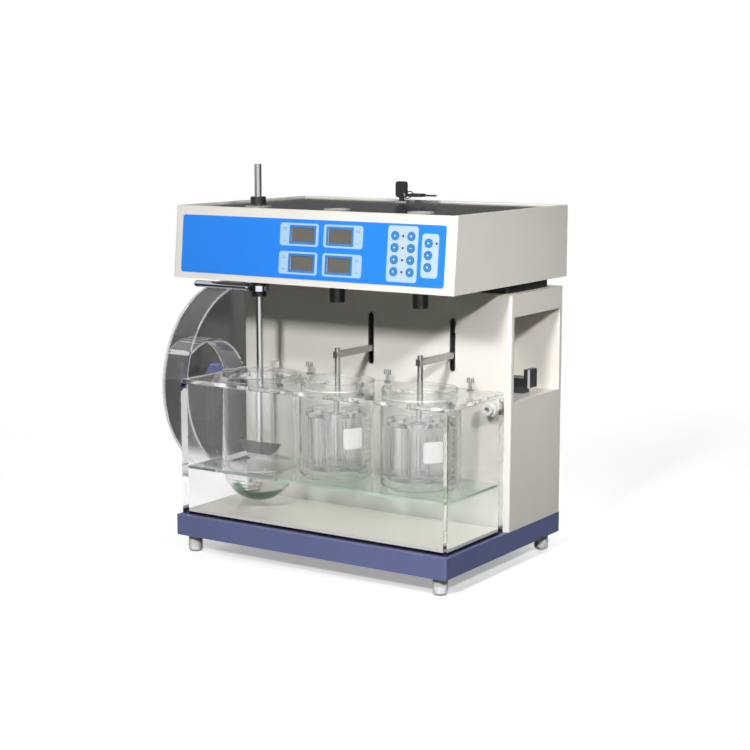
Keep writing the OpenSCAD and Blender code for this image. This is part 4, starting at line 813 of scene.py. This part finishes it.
    def surroundings(self) -> None:
        """Makes a white room, dimmer to the right, whose back looks dark in mirroring faces."""
        world = bpy.data.worlds.new("white_room")
        bpy.context.scene.world = world
        world.use_nodes = True
        tree = world.node_tree
        path = add_node(tree, "ShaderNodeLightPath")
        heading = add_node(tree, "ShaderNodeSeparateXYZ", {},
                           {0: add_node(tree, "ShaderNodeTexCoord").outputs["Generated"]})
        soft = add_node(tree, "ShaderNodeMapRange",
                        {"From Min": -1.0, "From Max": 1.0, "To Min": self.ambient_left,
                         "To Max": self.ambient_right}, {"Value": heading.outputs["X"]})
        mirror = add_node(tree, "ShaderNodeMapRange",
                          {"interpolation_type": "SMOOTHSTEP", "From Min": self.mirror_back[0],
                           "From Max": self.mirror_back[1], "To Min": 1.0, "To Max": self.back_mirror},
                          {"Value": heading.outputs["Y"]})
        seen = self.straight_sight(tree)
        dull = add_node(tree, "ShaderNodeMix", {},
                        {0: path.outputs["Is Glossy Ray"], 2: soft.outputs["Result"],
                         3: mirror.outputs["Result"]})
        strength = add_node(tree, "ShaderNodeMix", {3: 1.0}, {0: seen.outputs[0], 2: dull.outputs[0]})
        dim = self.dark_back(tree, heading.outputs["Y"], self.room_back)
        level = add_node(tree, "ShaderNodeMath", {"operation": "MULTIPLY"},
                         {0: strength.outputs[0], 1: dim.outputs[0]})
        room = tree.nodes["Background"]
        room.inputs["Color"].default_value = WHITE
        tree.links.new(level.outputs[0], room.inputs["Strength"])

    def camera(self) -> None:
        """Sets the camera at the photograph's place."""
        data = bpy.data.cameras.new("photo_camera")
        data.lens = self.lens
        data.sensor_width = self.sensor
        data.clip_start, data.clip_end = self.clip_m
        camera = bpy.data.objects.new("photo_camera", data)
        camera.location = self.eye_m
        camera.rotation_euler = look_at(self.eye_m, self.target_m)
        bpy.context.scene.collection.objects.link(camera)
        bpy.context.scene.camera = camera


@dataclass
class Enclosure:
    """Base, column, head, lid and lock."""

    def build(self) -> None:
        """Dresses the case."""
        dress(SLATE_PAINT, "base_tray")
        dress(MILKY_NYLON, "rubber_feet")
        dress(CREAM_POWDER, "column_shell", "rear_cover", "head_case", "hardness_bay")
        dress(TURNED_STEEL, "case_screws")
        dress(BLACK_ABS, "neck_spacer", "lock_keys")
        dress(DARK_ACRYLIC, "head_lid")
        dress(GREY_ABS, "lid_rings")
        dress(CHROME, "lock_barrel")


@dataclass
class FrontPanel:
    """Membrane overlay with its prints, displays, lights and keys.

    Panel places start at the middle of the head's lower front edge, x to the right and z
    up the leaning face. A label bar has half its length, its lower and its upper edge.
    """

    head_front: float = 8.0
    head_low: float = 401.5
    lean_run: float = 10.0
    lean_rise: float = 102.0
    film: float = 0.8
    ink: float = 0.06
    window: Point = (38.0, 19.5)
    window_x: Point = (-8.2, 52.8)
    window_z: Point = (30.5, 69.1)
    window_corner: float = 0.2
    frame_x: tuple[Point, Point] = ((-46.0, 18.0), (26.4, 90.0))
    frame_half: float = 15.5
    frame_corner: float = 4.0
    well: float = 3.2
    well_corner: float = 1.2
    label_in: float = 7.8
    label_corner: float = 0.4
    label_bars: tuple[Place, ...] = ((3.4, 8.0, 9.2), (3.4, 5.6, 6.8), (2.4, -9.4, -8.2))
    key_d: float = 12.0
    key_proud: float = 0.9
    key_gap: float = 0.3
    key_columns: Point = (140.4, 165.6)
    side_column: float = 192.3
    key_low: float = 26.9
    side_low: float = 34.8
    key_pitch: float = 15.7
    block_boxes: tuple[tuple[float, float, float, float], ...] = ((129.2, 13.6, 176.3, 87.2),
                                                                  (182.2, 21.1, 207.8, 78.5))
    block_corner: float = 4.4
    block_rim: float = 1.2
    field_corner: float = 3.4
    lamp_d: float = 3.0
    lamp_seat: float = 0.5
    lamp_dome: float = 0.9
    mark_scale: float = 0.62
    key_marks: tuple[Mark, ...] = (Mark.UP, Mark.PLUS, Mark.DOWN, Mark.MINUS, Mark.CHOICE, Mark.CHOICE,
                                   Mark.START, Mark.STOP, Mark.START, Mark.CHOICE, Mark.STOP)

    def on_panel(self, lift: float) -> Matrix:
        """Matrix that lays a flat sheet on the leaning panel.

        Args:
            lift: height of the sheet's underside over the head's face.

        Returns:
            The matrix from sheet_mesh's metres to the row frame.
        """
        lean = math.atan2(self.lean_run, self.lean_rise)
        inward = Vector((0, math.cos(lean), -math.sin(lean)))
        up = Vector((0, math.sin(lean), math.cos(lean)))
        place = bench(0, self.head_front, self.head_low) - inward * lift * MM
        turn = Matrix(((1, 0, 0), tuple(up), tuple(-inward))).transposed()
        return Matrix.Translation(place) @ turn.to_4x4()

    def key_places(self) -> list[Point]:
        """Middles of the eleven keys, top row first."""
        block = [(x, self.key_low + r * self.key_pitch) for r in (3, 2, 1, 0) for x in self.key_columns]
        return block + [(self.side_column, self.side_low + r * self.key_pitch) for r in (2, 1, 0)]

    def lamp_places(self) -> list[Point]:
        """Middles of the five indicator lights."""
        middle = sum(self.key_columns) / 2
        lamps = [(middle, self.key_low + r * self.key_pitch) for r in (3, 2, 1, 0)]
        return lamps + [(self.side_column + self.key_d, self.side_low + 2 * self.key_pitch)]

    def put(self, name: str, outlines: Sequence[Outline], finish: Finish, lift: float, body: str = "frame") -> None:
        """Prints one patch of ink on the panel or on a key.

        Args:
            name: piece's name.
            outlines: outlines in panel millimetres.
            finish: its ink.
            lift: height of its underside over the head's face.
            body: body it rides on.
        """
        mesh = sheet_mesh(name, outlines, self.ink)
        mesh.transform(self.on_panel(lift))
        add_piece(name, mesh, finish, body)

    def build(self) -> None:
        """Dresses the panel's solids and prints the film."""
        dress(BLUE_FILM, "front_overlay")
        dress(LCD_GLASS, "lcd_displays")
        dress(LENS_RED, "indicator_leds")
        self.display_frames()
        self.key_fields()
        self.keys()
        self.lenses()

    def display_frames(self) -> None:
        """Prints a pale frame, a painted shade border and label bars round each window."""
        half_w, half_h = self.window[0] / 2, self.window[1] / 2
        frames: list[Outline] = []
        wells: list[Outline] = []
        bars: list[Outline] = []
        for z in self.window_z:
            for column, x in enumerate(self.window_x):
                x0, x1 = self.frame_x[column]
                frames.append(rounded(x0, z - self.frame_half, x1, z + self.frame_half, self.frame_corner))
                border = rounded(x - half_w - self.well, z - half_h - self.well,
                                 x + half_w + self.well, z + half_h + self.well, self.well_corner)
                frames.append(border)
                wells.append(border)
                wells.append(rounded(x - half_w, z - half_h, x + half_w, z + half_h, self.window_corner))
                label = x0 + self.label_in if column == 0 else x1 - self.label_in
                bars += [rounded(label - half, z + low, label + half, z + high, self.label_corner)
                         for half, low, high in self.label_bars]
        self.put("display_frames", frames, PALE_INK, self.film)
        # Painted shade: the deep blue border where each window sinks in
        self.put("display_recess_shade", wells, RECESS_SHADE_INK, self.film)
        self.put("display_labels", bars, GREY_INK, self.film + self.ink)

    def key_fields(self) -> None:
        """Prints the pale fields round the two blocks of keys."""
        holes = [ring(x, z, self.key_d / 2 + self.key_gap) for x, z in self.key_places()]
        holes += [ring(x, z, self.lamp_d / 2 + self.key_gap, 20) for x, z in self.lamp_places()]
        edges = [rounded(*box, self.block_corner) for box in self.block_boxes]
        rim = self.block_rim
        fields = [rounded(x0 + rim, z0 + rim, x1 - rim, z1 - rim, self.field_corner)
                  for x0, z0, x1, z1 in self.block_boxes]
        self.put("key_field_edges", edges + fields, PALE_INK, self.film)
        self.put("key_fields", fields + holes, FIELD_INK, self.film)

    def keys(self) -> None:
        """Dresses the keys and prints a plain sign on each."""
        for number, ((x, z), mark) in enumerate(zip(self.key_places(), self.key_marks), 1):
            dress(KEY_PLASTIC, f"panel_key_{number}")
            outline = [(x + u * self.mark_scale, z + v * self.mark_scale) for u, v in mark.value]
            self.put(f"key_sign_{number}", [outline], MARK_INK, self.film + self.key_proud, f"key_{number}")

    def lenses(self) -> None:
        """Domes the indicator lights."""
        r, rise = self.lamp_d / 2, self.lamp_dome
        curve = [(r * math.cos(a), rise * math.sin(a)) for a in (i * math.pi / 12 for i in range(1, 6))]
        profile = [(0.0, 0.0), (r, 0.0), *curve, (0.0, rise)]
        domes = []
        for x, z in self.lamp_places():
            mesh = lathe_mesh("lens", profile)
            seat = self.on_panel(self.film + self.lamp_seat)
            mesh.transform(seat @ Matrix.Translation((x * MM, z * MM, 0)))
            domes.append(mesh)
        add_piece("indicator_domes", join_meshes("indicator_domes", domes), LENS_RED, "frame")


@dataclass
class Drives:
    """Spindles, belt, motors, stirrer and chuck lever."""

    def build(self) -> None:
        """Dresses the turning pieces in and under the head."""
        dress(BLACK_STEEL, "spindle_housings", "spindle_left", "spindle_middle", "spindle_right")
        dress(BELT_RUBBER, "spindle_belt")
        dress(ALUMINIUM, "motor_pulley")
        dress(MOTOR_GREY, "gear_motors")
        dress(GROUND_STEEL, "stirrer_paddle")
        dress(BLACK_ABS, "shaft_collar")
        dress(CHROME, "chuck_lever")


@dataclass
class WaterBath:
    """Tank, shelf, cover, vessels and their fittings.

    A print has its beaker's name and station, the heading of its label in degrees from
    the front to the right, and the height of the label's middle.
    """

    station_pitch: float = 136.5
    station_y: float = 84.0
    beaker_r: float = 52.5
    prints: tuple[tuple[str, int, float, float], ...] = (("middle", 0, 61.0, 188.0),
                                                         ("right", 1, 54.5, 184.0))
    ink: float = 0.12
    ink_gap: float = 0.02
    label_side: float = 29.0
    label_corner: float = 3.5
    scale_turn: float = 30.0
    scale_low: float = 150.0
    scale_step: float = 8.0
    scale_count: int = 11
    scale_left: float = -4.5
    scale_reach: Point = (9.0, 5.5)
    line_half: float = 0.45
    line_corner: float = 0.3

    def build(self) -> None:
        """Dresses the bath and prints the beakers."""
        dress(ACRYLIC, "water_tank", "tank_cover")
        dress(CREAM_SHEET, "tank_floor")
        dress(FLOAT_GLASS, "vessel_shelf")
        dress(VESSEL_GLASS, "dissolution_vessel")
        dress(BOROSILICATE, "beakers")
        dress(POST_ACRYLIC, "cover_posts")
        dress(WHITE_ABS, "temperature_probe", "tank_fittings")
        for name, station, heading, height in self.prints:
            self.beaker_print(name, bench(station * self.station_pitch, self.station_y, 0), heading, height)

    def beaker_print(self, name: str, foot: Vector, heading: float, height: float) -> None:
        """Prints a blank label and a scale on one beaker.

        Args:
            name: which beaker.
            foot: point of its axis on the floor.
            heading: where the label faces, in degrees from the front to the right.
            height: height of the label's middle.
        """
        half, radius = self.label_side / 2, self.beaker_r + self.ink_gap
        label = sheet_mesh("label", [rounded(-half, height - half, half, height + half, self.label_corner)],
                           self.ink)
        wrap_round(label, foot, radius, heading)
        lines = []
        for i in range(self.scale_count):
            right = self.scale_left + self.scale_reach[i % 2]
            z = self.scale_low + i * self.scale_step
            lines.append(rounded(self.scale_left, z - self.line_half, right, z + self.line_half,
                                 self.line_corner, 2))
        scale = sheet_mesh("scale", lines, self.ink)
        wrap_round(scale, foot, radius, heading + self.scale_turn)
        piece = f"beaker_print_{name}"
        add_piece(piece, join_meshes(piece, [label, scale]), WHITE_ABS, "frame")


@dataclass
class Baskets:
    """Lifting arms, racks and tubes with their drive."""

    def build(self) -> None:
        """Dresses the lift."""
        dress(TURNED_STEEL, "guide_rods")
        dress(ALUMINIUM, "lift_carriage", "lift_pinion")
        dress(DRAWN_STEEL, "basket_hangers")
        dress(BASKET_ACRYLIC, "basket_racks")
        dress(BASKET_GLASS, "basket_tubes")


@dataclass
class FriabilityDrum:
    """Clear drum with its scoop, shaft and hand nut."""

    def build(self) -> None:
        """Dresses the drum."""
        dress(DRUM_ACRYLIC, "drum_dish", "drum_cover", "drum_scoop")
        dress(TURNED_STEEL, "drum_shaft")
        dress(BLUE_KNOB, "drum_nut")


@dataclass
class SideFittings:
    """Hardness drive and mains entry."""

    def build(self) -> None:
        """Dresses the rail, jaw, inlet and switch."""
        dress(DARK_ENAMEL, "hardness_rail")
        dress(JAW_PAINT, "hardness_jaw")
        dress(BLACK_ABS, "power_inlet", "power_rocker")


def main() -> None:
    """Builds the studio and every sub-assembly in order."""
    logging.basicConfig(level=logging.INFO, format="%(name)s: %(message)s")
    for assembly in (Studio(), Enclosure(), FrontPanel(), Drives(), WaterBath(), Baskets(), FriabilityDrum(),
                     SideFittings()):
        LOG.info("building %s", type(assembly).__name__)
        assembly.build()


if __name__ == "__main__":
    main()
